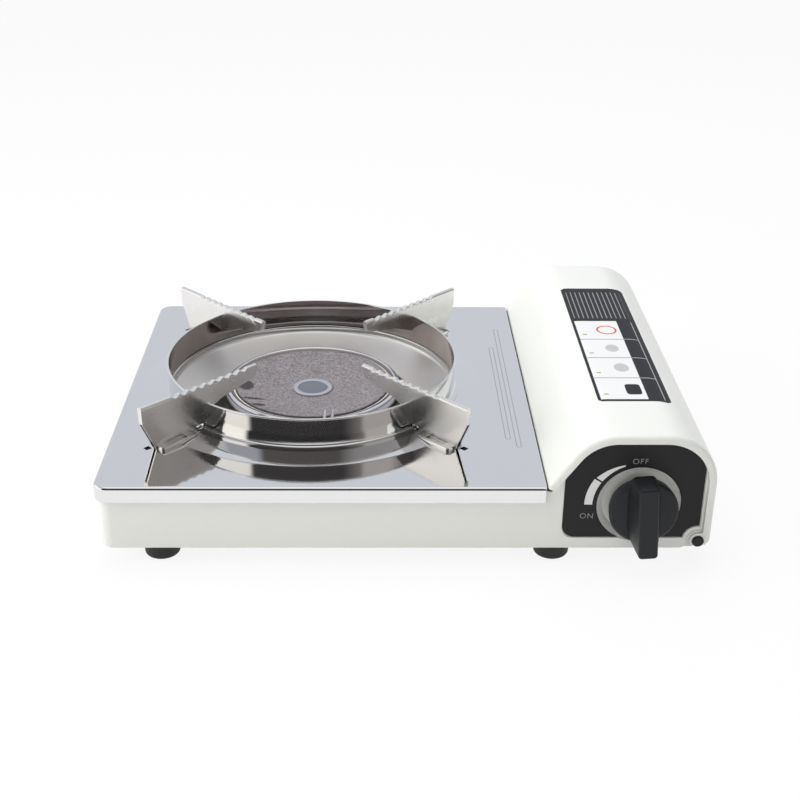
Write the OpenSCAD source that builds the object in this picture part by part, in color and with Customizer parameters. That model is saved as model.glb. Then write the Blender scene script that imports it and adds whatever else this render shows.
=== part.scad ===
// Single-burner butane cassette stove: a painted steel tray, a polished top
// plate with a lift-off pan support, a recessed burner, and a cartridge bay
// under a hinged arched cover. Millimetres, +Z up, the front faces -Y.

/* [Tray and top plate] */
// Width of the polished top plate
plate_w = 256; // [250:1:270]
// Depth of the top plate and of the cover, front to back
depth = 269; // [262:1:285]
// Height of the tray and top plate above the tray's underside
body_h = 41.5; // [40:0.5:46]
// Height of the rubber feet
foot_h = 9.5; // [7:0.5:14]
// Diameter of the rubber feet
foot_d = 20.6; // [16:0.1:26]
// Wall of the painted steel tray
tray_t = 1.2; // [0.8:0.1:1.6]
// Thickness of the polished top plate
plate_t = 0.8; // [0.6:0.1:1.2]
// Depth of the top plate's turned-down rim
rim_h = 9.5; // [6:0.5:14]
// Radius of the top plate's left corners
corner_r = 9; // [6:0.5:16]
// Bend radius along the top plate's edges
plate_bend = 2; // [1.2:0.1:3]
// Bend radius along the tray's lower edges
tray_bend = 2.2; // [1.4:0.1:3]
// How far the tray's walls stand back from the top plate's edge
tray_inset = 2; // [1.6:0.1:3]

/* [Cover] */
// Width of the arched cartridge cover
cover_w = 94.3; // [90:0.1:104]
// Gap between the top plate and the cover
cover_gap = 1; // [0.8:0.1:2]
// Height of the cover's crown above the top plate
cover_rise = 32.9; // [31:0.1:40]
// Wall of the painted steel cover
cover_t = 1; // [0.8:0.1:1.4]
// Width of the cover's turned-in front and rear flanges
flange_w = 4.8; // [4:0.1:8]
// Radius of the cover's bend on the side of the top plate
bend_left = 30; // [20:0.5:33]
// Radius of the cover's bend on the outer side
bend_right = 30.5; // [22:0.5:34]
// Slope of the cover's side next to the top plate, in degrees
slope_a = 54.8; // [48:0.1:60]
// Distance from the cover's outer side to the hinge pins
hinge_in = 7.3; // [6.5:0.1:9]
// Radius of the hinge lug at the cover's lower corner
lug_r = 4.9; // [4.2:0.1:6]
// Diameter of the hinge pins
pin_d = 5; // [4:0.1:6]

/* [Pan support] */
// Outside radius of the wind ring
ring_r = 92; // [84:0.5:96]
// Height of the wind ring above the top plate
ring_h = 19; // [14:0.5:22]
// Wall of the wind ring
ring_t = 0.9; // [0.7:0.1:1.4]
// Height of the arms above the top plate
arm_h = 27.6; // [25:0.1:32]
// Distance from the ring's centre to the arms' outer corners
arm_out = 135; // [128:0.5:140]
// Distance from the ring's centre to the arms' feet
arm_foot = 125.7; // [118:0.5:128]
// Distance from the ring's centre to the arms' inner tips
arm_in = 47; // [36:0.5:60]
// Thickness of a folded arm over both walls
arm_t = 3.6; // [3:0.1:5]
// Sheet thickness of the folded arms
arm_sheet = 0.9; // [0.7:0.1:1.2]
// Number of grip teeth on each arm
teeth = 9; // [5:1:12]
// Spacing of the grip teeth
tooth_pitch = 6.5; // [5.5:0.1:7.5]
// Depth of the rounded notches between the teeth
tooth_depth = 1.5; // [1:0.1:2.2]

/* [Burner] */
// Distance from the top plate's left edge to the burner's centre
burner_x = 118.1; // [112:0.1:124]
// Distance from the front edge to the burner's centre
burner_y = 134.6; // [130:0.1:142]
// Height of the raised collar round the burner
collar_h = 2.6; // [1.5:0.1:3.5]
// Radius of the woven mesh disc
mesh_r = 50.6; // [42:0.1:54]
// Depth of the dish in the mesh disc
mesh_dish = 4.5; // [2:0.1:6]
// Outside radius of the clamp rim around the mesh
rim_r = 57; // [53:0.1:60]
// Inside radius of the drip bowl's centre opening
bowl_hole_r = 65; // [63:0.1:70]
// Depth of the drip bowl's inner edge below the top plate
bowl_drop = 14; // [10:0.5:15]

/* [Knob and controls] */
// Distance from the cover's outer side to the knob's axis
knob_in = 41.5; // [38:0.1:48]
// Height of the knob's axis above the tray's underside
knob_up = 29.7; // [27:0.1:33]
// Radius of the knob's skirt
skirt_r = 19.8; // [16:0.1:21]
// How far the knob stands out from the front edge
knob_reach = 18.5; // [14:0.5:24]
// Length of the knob's grip bar
grip_l = 45.2; // [36:0.1:48]
// Width of the grip bar at its root
grip_w = 13.8; // [10:0.1:16]
// Tilt of the grip bar at the OFF stop, in degrees
off_tilt = 6; // [0:1:12]
// Turn of the knob from OFF to the ignition stop, in degrees
knob_turn = 94; // [80:1:110]
// Travel of the igniter plunger over the knob's whole turn
plunger_travel = 6; // [4:0.5:7]
// Diameter of the knob's spindle
spindle_d = 6; // [5:0.1:7]
// Radius of the round dish behind the knob
dish_r = 24; // [23:0.1:26]

/* [Gas parts] */
// Diameter of the fuel cartridge that the bay holds
can_d = 68; // [66:0.5:70]
// Diameter of the gas pipe
pipe_d = 4.8; // [4:0.1:6]
// Diameter of the mixing tube
mix_d = 16; // [13:0.5:17]

/* [Hidden] */
$fn = 96;
fine = 32;

// Colours of the finishes
cream = [0.93, 0.94, 0.91];
polished = [0.80, 0.81, 0.82];
satin = [0.70, 0.71, 0.71];
charcoal = [0.16, 0.16, 0.17];
rubber = [0.08, 0.08, 0.08];
brass = [0.78, 0.62, 0.30];
ceramic = [0.92, 0.90, 0.85];

// Clearances
run_gap = 0.06;
face_gap = 0.3;
eps = 0.01;

// The whole stove: the origin is the middle of its footprint, on the floor
overall_w = plate_w + cover_gap + cover_w;
pin_head_t = 1.2;
front_y = -(depth + pin_head_t - knob_reach) / 2;

// Heights
tray_z = foot_h;
floor_z = tray_z + tray_t;
plate_z = foot_h + body_h;
plate_under = plate_z - plate_t;
crown_z = plate_z + cover_rise;
pad_z = plate_z + collar_h;
pad_under = pad_z - plate_t;

// Tray outline
tray_r = corner_r - tray_inset;
tray_y1 = depth - tray_inset;
inner_y0 = tray_inset + tray_t;
inner_y1 = tray_y1 - tray_t;

// Cover outline in the X-Z plane
cover_x0 = plate_w + cover_gap;
cover_x1 = cover_x0 + cover_w;
hem_drop = 1.2;
hem_z = plate_z - hem_drop;
arc_right = [cover_x1 - bend_right, crown_z - bend_right];
arc_left_z = crown_z - bend_left;
slope_foot = 2.3;
arc_left_rise = arc_left_z + bend_left * cos(slope_a) - plate_z - slope_foot;
arc_left = [
    cover_x0 + arc_left_rise / tan(slope_a) + bend_left * sin(slope_a),
    arc_left_z
];
lug_rise = 6.8;
lug_drop = 3.4;
lug_corner = 4;
hinge_x = cover_x1 - hinge_in;
hinge_z = tray_z + lug_rise;
cover_seat_gap = 0.8;
bulkhead_in = cover_t + cover_seat_gap;
rear_skirt = 13;

// Control panel and knob
knob_x = cover_x1 - knob_in;
knob_z = tray_z + knob_up;
panel_t = 0.6;
panel_step = 1;
panel_x0 = cover_x0 + 8.8;
panel_x1 = cover_x1 - 6.8;
panel_z0 = tray_z + 8.2;
panel_r = 7;
panel_gap = 0.5;
panel_notch_r = hinge_in + 1.6;
panel_y = tray_inset + panel_step - panel_t;
dish_depth = 3;
dish_off = 1.4;
dish_x = knob_x - dish_off;
dish_floor_r = dish_r - 3.5;
dish_back_y = tray_inset + panel_step + dish_depth + tray_t;
spindle_hole_r = spindle_d / 2 + 1;
boss_r = hinge_in - cover_t - face_gap;
boss_gap = 0.3;
pin_r = pin_d / 2;
pin_head_r = pin_r + 0.95;
pin_l = 5.2;

// Partition between the burner and the cartridge bay
wall_x = cover_x0 + 3.8;
wall_t = 1;
wall_foot = 10;
wall_top = plate_z + slope_foot + (wall_x - cover_x0) * tan(slope_a)
    - (cover_t + face_gap) / cos(slope_a);
curb_x = hinge_x - 3.2;
curb_h = 10;

// Pan support
bead_r = 0.7;
ring_foot = 3.2;
ring_slot_z = 8;
notch_r = 2.3;
tooth_first = arm_in + 10.7;
arm_corner_drop = 11.3;
arm_foot_in = ring_r + ring_foot + 1;
flange_l = 4.4;
arm_names_fl = 225;
arm_names_fr = 315;
arm_names_rl = 135;
arm_names_rr = 45;

// Burner
well_r = ring_r - ring_t - 0.3;
well_drop = 4.8;
bowl_t = 0.8;
bowl_flange = 5;
collar_in_r = well_r + plate_t + 0.2 + bowl_flange + 0.4;
collar_r = collar_in_r + 13.3;
collar_clear = 1.6;
mesh_t = 0.8;
mesh_z = pad_z - 1.2;
eyelet_r = 12.8;
eyelet_in_r = 9.2;
eyelet_t = 1.2;
cup_r = rim_r - 2;
cup_t = 1.2;
cup_floor_z = pad_z - 15;
hub_r = 26;
hub_z = floor_z + 4.5;
stone_t = 7;
stone_edge = 4.5;
stand_half = 24;
stand_t = 1.2;

// Gas train
gas_z = floor_z + 13.4;
mix_r = mix_d / 2;
mix_wall = 1;
mix_end_x = wall_x - 24.5;
jet_nose_r = 3;
pipe_r = pipe_d / 2;
pipe_turn_x = wall_x - 7.8;
pipe_bend = 5;
pipe_in = 3;
reg_y = 23.5;
reg_l = 24.5;
reg_w = 34;
reg_z0 = floor_z + 7.5;
reg_top = plate_z + 3;
pipe_y = reg_y + reg_l / 2;
can_r = can_d / 2;
can_x = cover_x0 + 49;
heat_t = 1.2;
heat_z = floor_z + face_gap;
can_z = heat_z + heat_t + can_r + face_gap;
socket_r = 4.6;
socket_boss_r = 17.5;
socket_l = 6;
magnet_t = 3;
magnet_r = 16.5;
magnet_in_r = 9.5;
can_front_y = reg_y + reg_l + socket_l + magnet_t;
socket_y0 = can_front_y - 10;
seal_r = socket_r - 0.4;
seal_t = 2;
cradle_front = 28;
cradle_rear = 158;
web_t = 1.5;
nut_r = 5.5;
nut_l = 9;

// Igniter
cam_y = 11.5;
cam_t = 6;
cam_r = 7;
cam_rise = plunger_travel / knob_turn;
cam_lead = 12;
nose_r = 2;
nose_gap = 0.4;
nose_l = 9;
plunger_r = 3.5;
piezo_x0 = wall_x + 3;
piezo_x1 = knob_x - cam_r - plunger_travel - 3.4;
piezo_s = 12;
piezo_y = cam_y + cam_t / 2;
wire_r = 1.4;
wire_bend = 3;
rod_r = 0.8;
prong_gap = 4.7;
prong_rise = 3.4;
electrode_off = 9.9;
electrode_x = burner_x + electrode_off;
electrode_ring = (rim_r + bowl_hole_r) / 2 + 1;
electrode_y = burner_y - sqrt(electrode_ring * electrode_ring - electrode_off * electrode_off);
insulator_r = 2.6;
insulator_z0 = floor_z + 12;
insulator_z1 = pad_z - 5;
collar_z = floor_z + 20;

// Feet
foot_r = foot_d / 2;
foot_edge = 2.2;
foot_left_x = 35;
foot_right_x = cover_x0 + 5;
foot_in_y = 15;
foot_stem_r = 3;
foot_bead_r = 4.2;

// ---------------------------------------------------------------- helpers

// Moves the stove's front left corner so that the footprint is centred
module in_place() {
    translate([-overall_w / 2, front_y, 0])
        children();
}

// Draws a 2-D shape of (x, z) as a wall that starts at y0 and is t thick
module wall_y(y0, t) {
    translate([0, y0 + t, 0])
        rotate([90, 0, 0])
            linear_extrude(t)
                children();
}

// A rod along +X
module rod_x(x0, x1, y, z, r) {
    translate([x0, y, z])
        rotate([0, 90, 0])
            cylinder(h = x1 - x0, r = r);
}

// A rod along +Y
module rod_y(x, y0, y1, z, r) {
    translate([x, y0, z])
        rotate([-90, 0, 0])
            cylinder(h = y1 - y0, r = r);
}

// A rectangle whose two corners at x0 are round
module left_rounded(x0, x1, y0, y1, r) {
    translate([x0 + r, y0 + r])
        circle(r);
    translate([x0 + r, y1 - r])
        circle(r);
    translate([x0, y0 + r])
        square([x1 - x0, y1 - y0 - 2 * r]);
    translate([x0 + r, y0])
        square([x1 - x0 - r, y1 - y0]);
}

// A rectangle with four round corners, centred
module rounded(w, h, r) {
    square([w - 2 * r, h], center = true);
    square([w, h - 2 * r], center = true);
    for (sx = [-1, 1], sy = [-1, 1])
        translate([sx * (w / 2 - r), sy * (h / 2 - r)])
            circle(r, $fn = fine);
}

// The space under the cover's arch, set in by i, down to the hinge
module arch(i) {
    left_r = bend_left - i;
    right_r = bend_right - i;
    tangent = arc_left + left_r * [-sin(slope_a), cos(slope_a)];
    foot_x = cover_x0 + i;
    translate(arc_left)
        circle(left_r);
    translate(arc_right)
        circle(right_r);
    polygon([
        [foot_x, hinge_z],
        [foot_x, tangent[1] - (tangent[0] - foot_x) * tan(slope_a)],
        tangent,
        arc_left + [0, left_r],
        arc_right + [0, right_r],
        arc_right + [right_r, 0],
        [arc_right[0] + right_r, hinge_z]
    ]);
}

// The same space as a block: a sharp-cornered prism whose two bends are cut round
module arch_block(y0, l, i, low, right) {
    left_r = bend_left - i;
    right_r = bend_right - i;
    left = cover_x0 + i;
    top = crown_z - i;
    out = [-sin(slope_a), cos(slope_a)];
    bend_start = arc_left + left_r * out;
    bend_end = arc_left + [0, left_r];
    corner = [bend_start[0] + (top - bend_start[1]) / tan(slope_a), top];
    difference() {
        wall_y(y0, l)
            polygon([
                [left, low],
                [left, bend_start[1] - (bend_start[0] - left) * tan(slope_a)],
                corner,
                [right, top],
                [right, low]
            ]);
        difference() {
            wall_y(y0 - 1, l + 2)
                polygon([
                    bend_start,
                    bend_start + out,
                    corner + out + [0, 1],
                    bend_end + [0, 1],
                    bend_end
                ]);
            rod_y(arc_left[0], y0 - 2, y0 + l + 2, arc_left[1], left_r);
        }
        difference() {
            translate([arc_right[0], y0 - 1, arc_right[1]])
                cube([right - arc_right[0] + 1, l + 2, right_r + 1]);
            rod_y(arc_right[0], y0 - 2, y0 + l + 2, arc_right[1], right_r);
        }
    }
}

// ---------------------------------------------------------------- tray and plate

// Outline of the front bulkhead, as (x, z)
module bulkhead_outline(top) {
    translate([tray_inset + tray_r, tray_z])
        square([curb_x + tray_t - tray_inset - tray_r, top - tray_z]);
    arch(bulkhead_in);
    translate([hinge_x, hinge_z])
        circle(boss_r);
}

// The control panel's outline, grown by g, as a wall that starts at y0 and is t thick
module panel_block(y0, t, g) {
    left = panel_x0 - g;
    low = panel_z0 - g;
    difference() {
        arch_block(y0, t, flange_w + 0.4 - g, low, panel_x1 + g);
        translate([cover_x0, y0 - 1, tray_z])
            cube([left - cover_x0, t + 2, crown_z]);
        difference() {
            translate([left - 1, y0 - 1, low - 1])
                cube([panel_r + 1, t + 2, panel_r + 1]);
            rod_y(left + panel_r, y0 - 2, y0 + t + 2, low + panel_r, panel_r);
        }
        rod_y(hinge_x, y0 - 1, y0 + t + 1, hinge_z, panel_notch_r - g);
    }
}

module base_tray() {
    low_top = plate_z - hem_drop - 2.2;
    color(cream)
        difference() {
            union() {
                translate([0, 0, tray_z])
                    linear_extrude(tray_t)
                        left_rounded(tray_inset, curb_x + tray_t, tray_inset, tray_y1, tray_r);
                translate([0, 0, tray_z])
                    linear_extrude(plate_under - tray_z)
                        tray_wall();
                wall_y(tray_inset, tray_t)
                    bulkhead_outline(low_top);
                wall_y(inner_y1, tray_t)
                    rear_outline(low_top);
                panel_block(tray_inset + tray_t - eps, panel_step + eps, panel_gap + tray_t);
                dish_back();
                hinge_bosses();
                translate([curb_x, inner_y0 - eps, tray_z])
                    cube([tray_t, inner_y1 - inner_y0 + 2 * eps, curb_h]);
            }
            panel_block(tray_inset - 1, panel_step + 1, panel_gap);
            dish_cut();
            hinge_holes();
            tray_holes();
            for (y = [-1, inner_y1 - 2])
                corner_relief(y, tray_inset + tray_t + 3);
            bottom_bend();
            translate([0, depth, 0])
                mirror([0, 1, 0])
                    bottom_bend();
            difference() {
                translate([tray_inset - 1, tray_inset + tray_r, tray_z - 1])
                    cube([tray_bend + 1, depth - 2 * tray_inset - 2 * tray_r, tray_bend + 1]);
                rod_y(tray_inset + tray_bend, 0, depth, tray_z + tray_bend, tray_bend);
            }
        }
}

// Rounds the tray's lower edge along the front and round the left corner
module bottom_bend() {
    c = tray_inset + tray_r;
    difference() {
        translate([c, tray_inset - 1, tray_z - 1])
            cube([cover_x1 - c, tray_bend + 1, tray_bend + 1]);
        rod_x(c - 1, cover_x1 + 1, tray_inset + tray_bend, tray_z + tray_bend, tray_bend);
    }
    translate([c, c, tray_z])
        rotate([0, 0, 180])
            rotate_extrude(angle = 90)
                difference() {
                    translate([tray_r - tray_bend, -1])
                        square(tray_bend + 1);
                    translate([tray_r - tray_bend, tray_bend])
                        circle(tray_bend, $fn = fine);
                }
}

// Cuts the tray's lower right corner clear of the cover's lug
module corner_relief(y, l) {
    top = hinge_z - lug_drop;
    rise = top - tray_z;
    wall_y(y, l)
        polygon([
            [curb_x - 3 - rise - 1, tray_z - 1],
            [curb_x - 3, top],
            [cover_x1 + 1, top],
            [cover_x1 + 1, tray_z - 1]
        ]);
}

// Plan of the tray's upright wall, open towards the cartridge bay
module tray_wall() {
    wall_end = plate_w - 1.5;
    difference() {
        left_rounded(tray_inset, wall_end, tray_inset, tray_y1, tray_r);
        left_rounded(tray_inset + tray_t, wall_end + 1, inner_y0, inner_y1, tray_r - tray_t);
    }
}

// Outline of the rear wall, as (x, z): it stays inside the cover's rear face
module rear_outline(top) {
    translate([tray_inset + tray_r, tray_z])
        square([curb_x + tray_t - tray_inset - tray_r, top - tray_z]);
    translate([hinge_x, hinge_z])
        circle(boss_r);
    intersection() {
        arch(bulkhead_in);
        translate([cover_x0, tray_z])
            square([cover_w, top - tray_z]);
    }
}

// Raised bosses that carry the hinge pins
module hinge_bosses() {
    boss_l = tray_inset - cover_t - boss_gap;
    for (y = [cover_t + boss_gap, tray_y1 - eps])
        rod_y(hinge_x, y, y + boss_l + eps, hinge_z, boss_r);
}

module hinge_holes() {
    rod_y(hinge_x, -1, tray_inset + tray_t + 1, hinge_z, pin_r + run_gap);
    rod_y(hinge_x, inner_y1 - 1, depth + 1, hinge_z, pin_r + run_gap);
}

// Back of the dish, and the dish itself
module dish_back() {
    depth_all = dish_back_y - tray_inset - panel_step;
    translate([dish_x, tray_inset + panel_step, knob_z])
        rotate([-90, 0, 0])
            cylinder(h = depth_all, r1 = dish_r + tray_t, r2 = dish_floor_r + tray_t);
}

module dish_cut() {
    translate([dish_x, tray_inset - 1, knob_z])
        rotate([-90, 0, 0])
            cylinder(h = 1 + panel_step + eps, r = dish_r);
    translate([dish_x, tray_inset + panel_step, knob_z])
        rotate([-90, 0, 0])
            cylinder(h = dish_depth, r1 = dish_r, r2 = dish_floor_r);
    rod_y(knob_x, tray_inset, dish_back_y + 1, knob_z, spindle_hole_r);
}

// Holes in the tray: foot stems, air slots, bracket screws
module tray_holes() {
    slot_w = 4;
    slot_l = 34;
    for (p = foot_places())
        translate([p[0], p[1], tray_z - 1])
            cylinder(h = tray_t + 2, r = foot_stem_r + run_gap);
    for (k = [0:4])
        translate([can_x - 24 + k * 12, depth * 0.62, tray_z - 1])
            air_slot(slot_w, slot_l, tray_t + 2);
    for (k = [0:3])
        translate([burner_x - 58 + k * 30, depth * 0.2, tray_z - 1])
            air_slot(slot_w, slot_l, tray_t + 2);
    for (k = [0:5])
        translate([can_x - 30 + k * 12, inner_y1 + tray_t + 1, tray_z + 12])
            rotate([90, 0, 0])
                air_slot(slot_w + 1, slot_l * 0.5, tray_t + 2);
    for (p = bracket_screw_places())
        translate([p[0], p[1], tray_z - 1])
            cylinder(h = tray_t + 2, r = 1.6, $fn = fine);
}

// A slot with round ends that runs along +Y
module air_slot(w, l, h) {
    translate([-w / 2, 0, 0])
        cube([w, l, h]);
    for (y = [0, l])
        translate([0, y, 0])
            cylinder(h = h, r = w / 2, $fn = fine);
}

// Section of the plate's bent rim: x = 0 is the outside, y is the height
module rim_section(h) {
    difference() {
        translate([-plate_bend, -plate_bend])
            circle(plate_bend, $fn = fine);
        translate([-plate_bend, -plate_bend])
            circle(plate_bend - plate_t, $fn = fine);
        translate([-2 * plate_bend - 1, -2 * plate_bend - 1])
            square([plate_bend + 1, 2 * plate_bend + 2]);
        translate([-plate_bend - 1, -2 * plate_bend - 1])
            square([plate_bend + 2, plate_bend + 1]);
    }
    translate([-plate_t, -h])
        square([plate_t, h - plate_bend]);
}

module top_plate() {
    bead_y = [[plate_w - 17.2, 60, 192], [plate_w - 11.5, 50, 224]];
    color(polished)
        difference() {
            union() {
                plate_sheet();
                plate_rim();
                for (b = bead_y)
                    plate_bead(b[0], b[1], b[2]);
                translate([burner_x, burner_y, pad_z - well_drop])
                    cylinder(h = well_drop, r = well_r + plate_t);
            }
            translate([burner_x, burner_y, pad_z - well_drop - 1])
                cylinder(h = well_drop + 2, r = well_r);
            for (p = locating_holes())
                translate([burner_x + p[0], burner_y + p[1], plate_z])
                    rotate([0, 0, 45])
                        cube([3.6, 3.6, 4 * plate_t], center = true);
        }
}

// The plate's flat sheet with the raised collar pressed up round the well
module plate_sheet() {
    difference() {
        union() {
            translate([0, 0, plate_under])
                linear_extrude(plate_t)
                    left_rounded(plate_bend, plate_w - plate_bend, plate_bend,
                        depth - plate_bend, corner_r - plate_bend);
            translate([burner_x, burner_y, 0])
                rotate_extrude()
                    collar_profile(plate_under, plate_z);
        }
        translate([burner_x, burner_y, 0])
            rotate_extrude()
                collar_profile(plate_under - 1, plate_under);
    }
}

// Half section under the raised collar: from z0 up to a cone that starts at height z
module collar_profile(z0, z) {
    polygon([
        [0, z0],
        [collar_r, z0],
        [collar_r, z],
        [collar_in_r, z + collar_h],
        [0, z + collar_h]
    ]);
}

// The plate's rim: three full sides, two round corners and a short right side
module plate_rim() {
    right_h = 3.2;
    r = corner_r;
    translate([r, 0, plate_z])
        rotate([90, 0, 90])
            linear_extrude(plate_w - r - plate_bend)
                mirror([1, 0])
                    rim_section(rim_h);
    translate([plate_w - plate_bend, depth, plate_z])
        rotate([90, 0, -90])
            linear_extrude(plate_w - r - plate_bend)
                mirror([1, 0])
                    rim_section(rim_h);
    translate([0, depth - r, plate_z])
        rotate([90, 0, 0])
            linear_extrude(depth - 2 * r)
                mirror([1, 0])
                    rim_section(rim_h);
    translate([plate_w, plate_bend, plate_z])
        rotate([90, 0, 180])
            linear_extrude(depth - 2 * plate_bend)
                mirror([1, 0])
                    rim_section(right_h);
    for (c = [[r, r, 180], [r, depth - r, 90]])
        translate([c[0], c[1], plate_z])
            rotate([0, 0, c[2]])
                rotate_extrude(angle = 90)
                    translate([r, 0])
                        rim_section(rim_h);
    for (c = [[plate_bend, 270], [depth - plate_bend, 0]])
        translate([plate_w - plate_bend, c[0], plate_z])
            rotate([0, 0, c[1]])
                rotate_extrude(angle = 90)
                    translate([plate_bend, 0])
                        rim_section(rim_h);
}

// A pressed stiffening bead that stands a little proud of the plate
module plate_bead(x, y0, y1) {
    bead_h = 0.5;
    r = 3;
    intersection() {
        union() {
            rod_y(x, y0, y1, plate_z + bead_h - r, r);
            for (y = [y0, y1])
                translate([x, y, plate_z + bead_h - r])
                    sphere(r);
        }
        translate([x - r, y0 - r, plate_under])
            cube([2 * r, y1 - y0 + 2 * r, plate_t + bead_h]);
    }
}

function locating_holes() = [[-93.4, -87.8], [93.4, -87.8], [-92, 88.2], [91, 87.2]];

module can_partition() {
    color(satin)
        difference() {
            union() {
                translate([wall_x, inner_y0 + face_gap, floor_z])
                    cube([wall_t, inner_y1 - inner_y0 - 2 * face_gap, wall_top - floor_z]);
                translate([wall_x - wall_foot, 30, floor_z])
                    cube([wall_foot + wall_t, depth - 60, wall_t]);
            }
            for (y = [foot_in_y, depth - foot_in_y])
                translate([foot_right_x, y, floor_z - 1])
                    cylinder(h = 4, r = foot_bead_r + 1);
            rod_x(wall_x - 1, wall_x + wall_t + 1, pipe_y, gas_z, pipe_r + 1);
            rod_x(wall_x - 1, wall_x + wall_t + 1, piezo_y, knob_z, wire_r + 1);
            translate([wall_x - wall_foot - 1, heat_y0 - 1, floor_z - 1])
                cube([wall_foot + wall_t + 2, heat_w + 2, heat_z + heat_t + 2 - floor_z]);
            for (k = [0:5])
                translate([wall_x - 1, 70 + k * 26, floor_z + 20])
                    rotate([0, 90, 0])
                        air_slot(4, 14, wall_t + 2);
            for (p = bracket_screw_places())
                translate([p[0], p[1], floor_z - 1])
                    cylinder(h = wall_t + 2, r = 1.6, $fn = fine);
        }
}

// ---------------------------------------------------------------- cover and hinge

module cover() {
    side_w = flange_w + 2;
    color(cream)
        difference() {
            union() {
                difference() {
                    arch_block(0, depth, 0, hinge_z, cover_x1);
                    arch_block(cover_t, depth - 2 * cover_t, cover_t, 0, cover_x1 - cover_t);
                    arch_block(-1, cover_t + 2, flange_w, 0, cover_x1 - flange_w);
                    translate([cover_x0 - 1, -1, 0])
                        cube([cover_w + 1 - side_w, depth - cover_t + 1, hem_z]);
                    translate([cover_x0 - 1, depth - cover_t - 1, 0])
                        cube([cover_w + 1 - side_w, cover_t + 2, plate_z - rear_skirt]);
                }
                for (y = [0, depth - cover_t])
                    hinge_lug(y);
            }
            rod_y(hinge_x, -1, cover_t + 1, hinge_z, pin_r + run_gap);
            rod_y(hinge_x, depth - cover_t - 1, depth + 1, hinge_z, pin_r + run_gap);
        }
}

// The cover's lower corner at the hinge: a round lug with a flat foot and a round outer corner
module hinge_lug(y) {
    foot_z = hinge_z - lug_drop;
    difference() {
        union() {
            rod_y(hinge_x, y, y + cover_t, hinge_z, lug_r);
            translate([hinge_x, y, foot_z])
                cube([cover_x1 - hinge_x, cover_t, lug_drop + 1]);
        }
        translate([hinge_x - lug_r - 1, y - 1, foot_z - lug_r])
            cube([lug_r + hinge_in + 2, cover_t + 2, lug_r]);
        difference() {
            translate([cover_x1 - lug_corner, y - 1, foot_z - 1])
                cube([lug_corner + 1, cover_t + 2, lug_corner + 1]);
            rod_y(cover_x1 - lug_corner, y - 2, y + cover_t + 2, foot_z + lug_corner, lug_corner);
        }
    }
}

module hinge_pin_front() {
    color(rubber)
        hinge_pin();
}

module hinge_pin_rear() {
    color(rubber)
        translate([0, depth, 0])
            mirror([0, 1, 0])
                hinge_pin();
}

// A headed pin through the cover's lug and the tray's boss
module hinge_pin() {
    translate([hinge_x, -pin_head_t, hinge_z])
        rotate([-90, 0, 0])
            rotate_extrude()
                pin_profile();
}

module pin_profile() {
    chamfer = 0.5;
    polygon([
        [0, 0],
        [pin_head_r - chamfer, 0],
        [pin_head_r, chamfer],
        [pin_head_r, pin_head_t - 0.05],
        [pin_r, pin_head_t - 0.05],
        [pin_r, pin_l],
        [0, pin_l]
    ]);
}

// ---------------------------------------------------------------- control panel and knob

module control_panel() {
    color(charcoal)
        difference() {
            panel_block(panel_y, panel_t, 0);
            rod_y(dish_x, panel_y - 1, panel_y + panel_t + 1, knob_z, dish_r);
        }
}

module knob() {
    back_y = 0.3;
    skirt_y = -7.5;
    root_y = -3.5;
    bore_end = -knob_reach + 4;
    color(charcoal)
        translate([knob_x, 0, knob_z])
            rotate([0, -off_tilt, 0])
                difference() {
                    union() {
                        translate([0, back_y, 0])
                            rotate([90, 0, 0])
                                rotate_extrude()
                                    skirt_profile(back_y - skirt_y);
                        grip(root_y);
                    }
                    rotate([90, 0, 0])
                        translate([0, 0, -back_y - 1])
                            cylinder(h = back_y + 1 - bore_end, r = spindle_d / 2 + run_gap);
                }
}

// Half section of the skirt: a disc with a rounded front edge
module skirt_profile(h) {
    edge = 1.6;
    square([skirt_r - edge, h]);
    square([skirt_r, h - edge]);
    translate([skirt_r - edge, h - edge])
        circle(edge, $fn = fine);
}

// The grip bar: narrower towards the front, with round front edges and round corners
module grip(y0) {
    front_w = grip_w - 1.8;
    long = grip_l + 4;
    intersection() {
        translate([0, 0, -long / 2])
            linear_extrude(long)
                polygon(bar_section(grip_w, front_w, y0, 2));
        rotate([0, 90, 0])
            translate([0, 0, -long / 2])
                linear_extrude(long)
                    polygon(bar_section(grip_l, grip_l - 1, y0, 2));
        wall_y(-knob_reach - 1, knob_reach + 2)
            polygon(round_corners(grip_w + 0.2, grip_l + 0.2, 3));
    }
}

// Points of a quarter arc about c that starts at angle a
function quarter(c, r, a) = [
    for (k = [0:6]) c + r * [cos(a + 15 * k), sin(a + 15 * k)]
];

// Section of a bar that is w wide at y0 and front_w wide at the knob's front, with round edges
function bar_section(w, front_w, y0, r) = concat(
    [[w / 2, y0], [-w / 2, y0]],
    quarter([r - front_w / 2, r - knob_reach], r, 180),
    quarter([front_w / 2 - r, r - knob_reach], r, 270)
);

// A centred rectangle with four round corners
function round_corners(w, h, r) = concat(
    quarter([w / 2 - r, h / 2 - r], r, 0),
    quarter([r - w / 2, h / 2 - r], r, 90),
    quarter([r - w / 2, r - h / 2], r, 180),
    quarter([w / 2 - r, r - h / 2], r, 270)
);

module valve_spindle() {
    color(satin)
        rod_y(knob_x, -knob_reach + 4.5, reg_y + 8, knob_z, spindle_d / 2);
}

// The cam's outline: its radius grows evenly over the knob's turn, so the plunger follows at a
// constant rate
function cam_point(s) = (cam_r + cam_rise * s) * [-cos(s), sin(s)];

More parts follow.
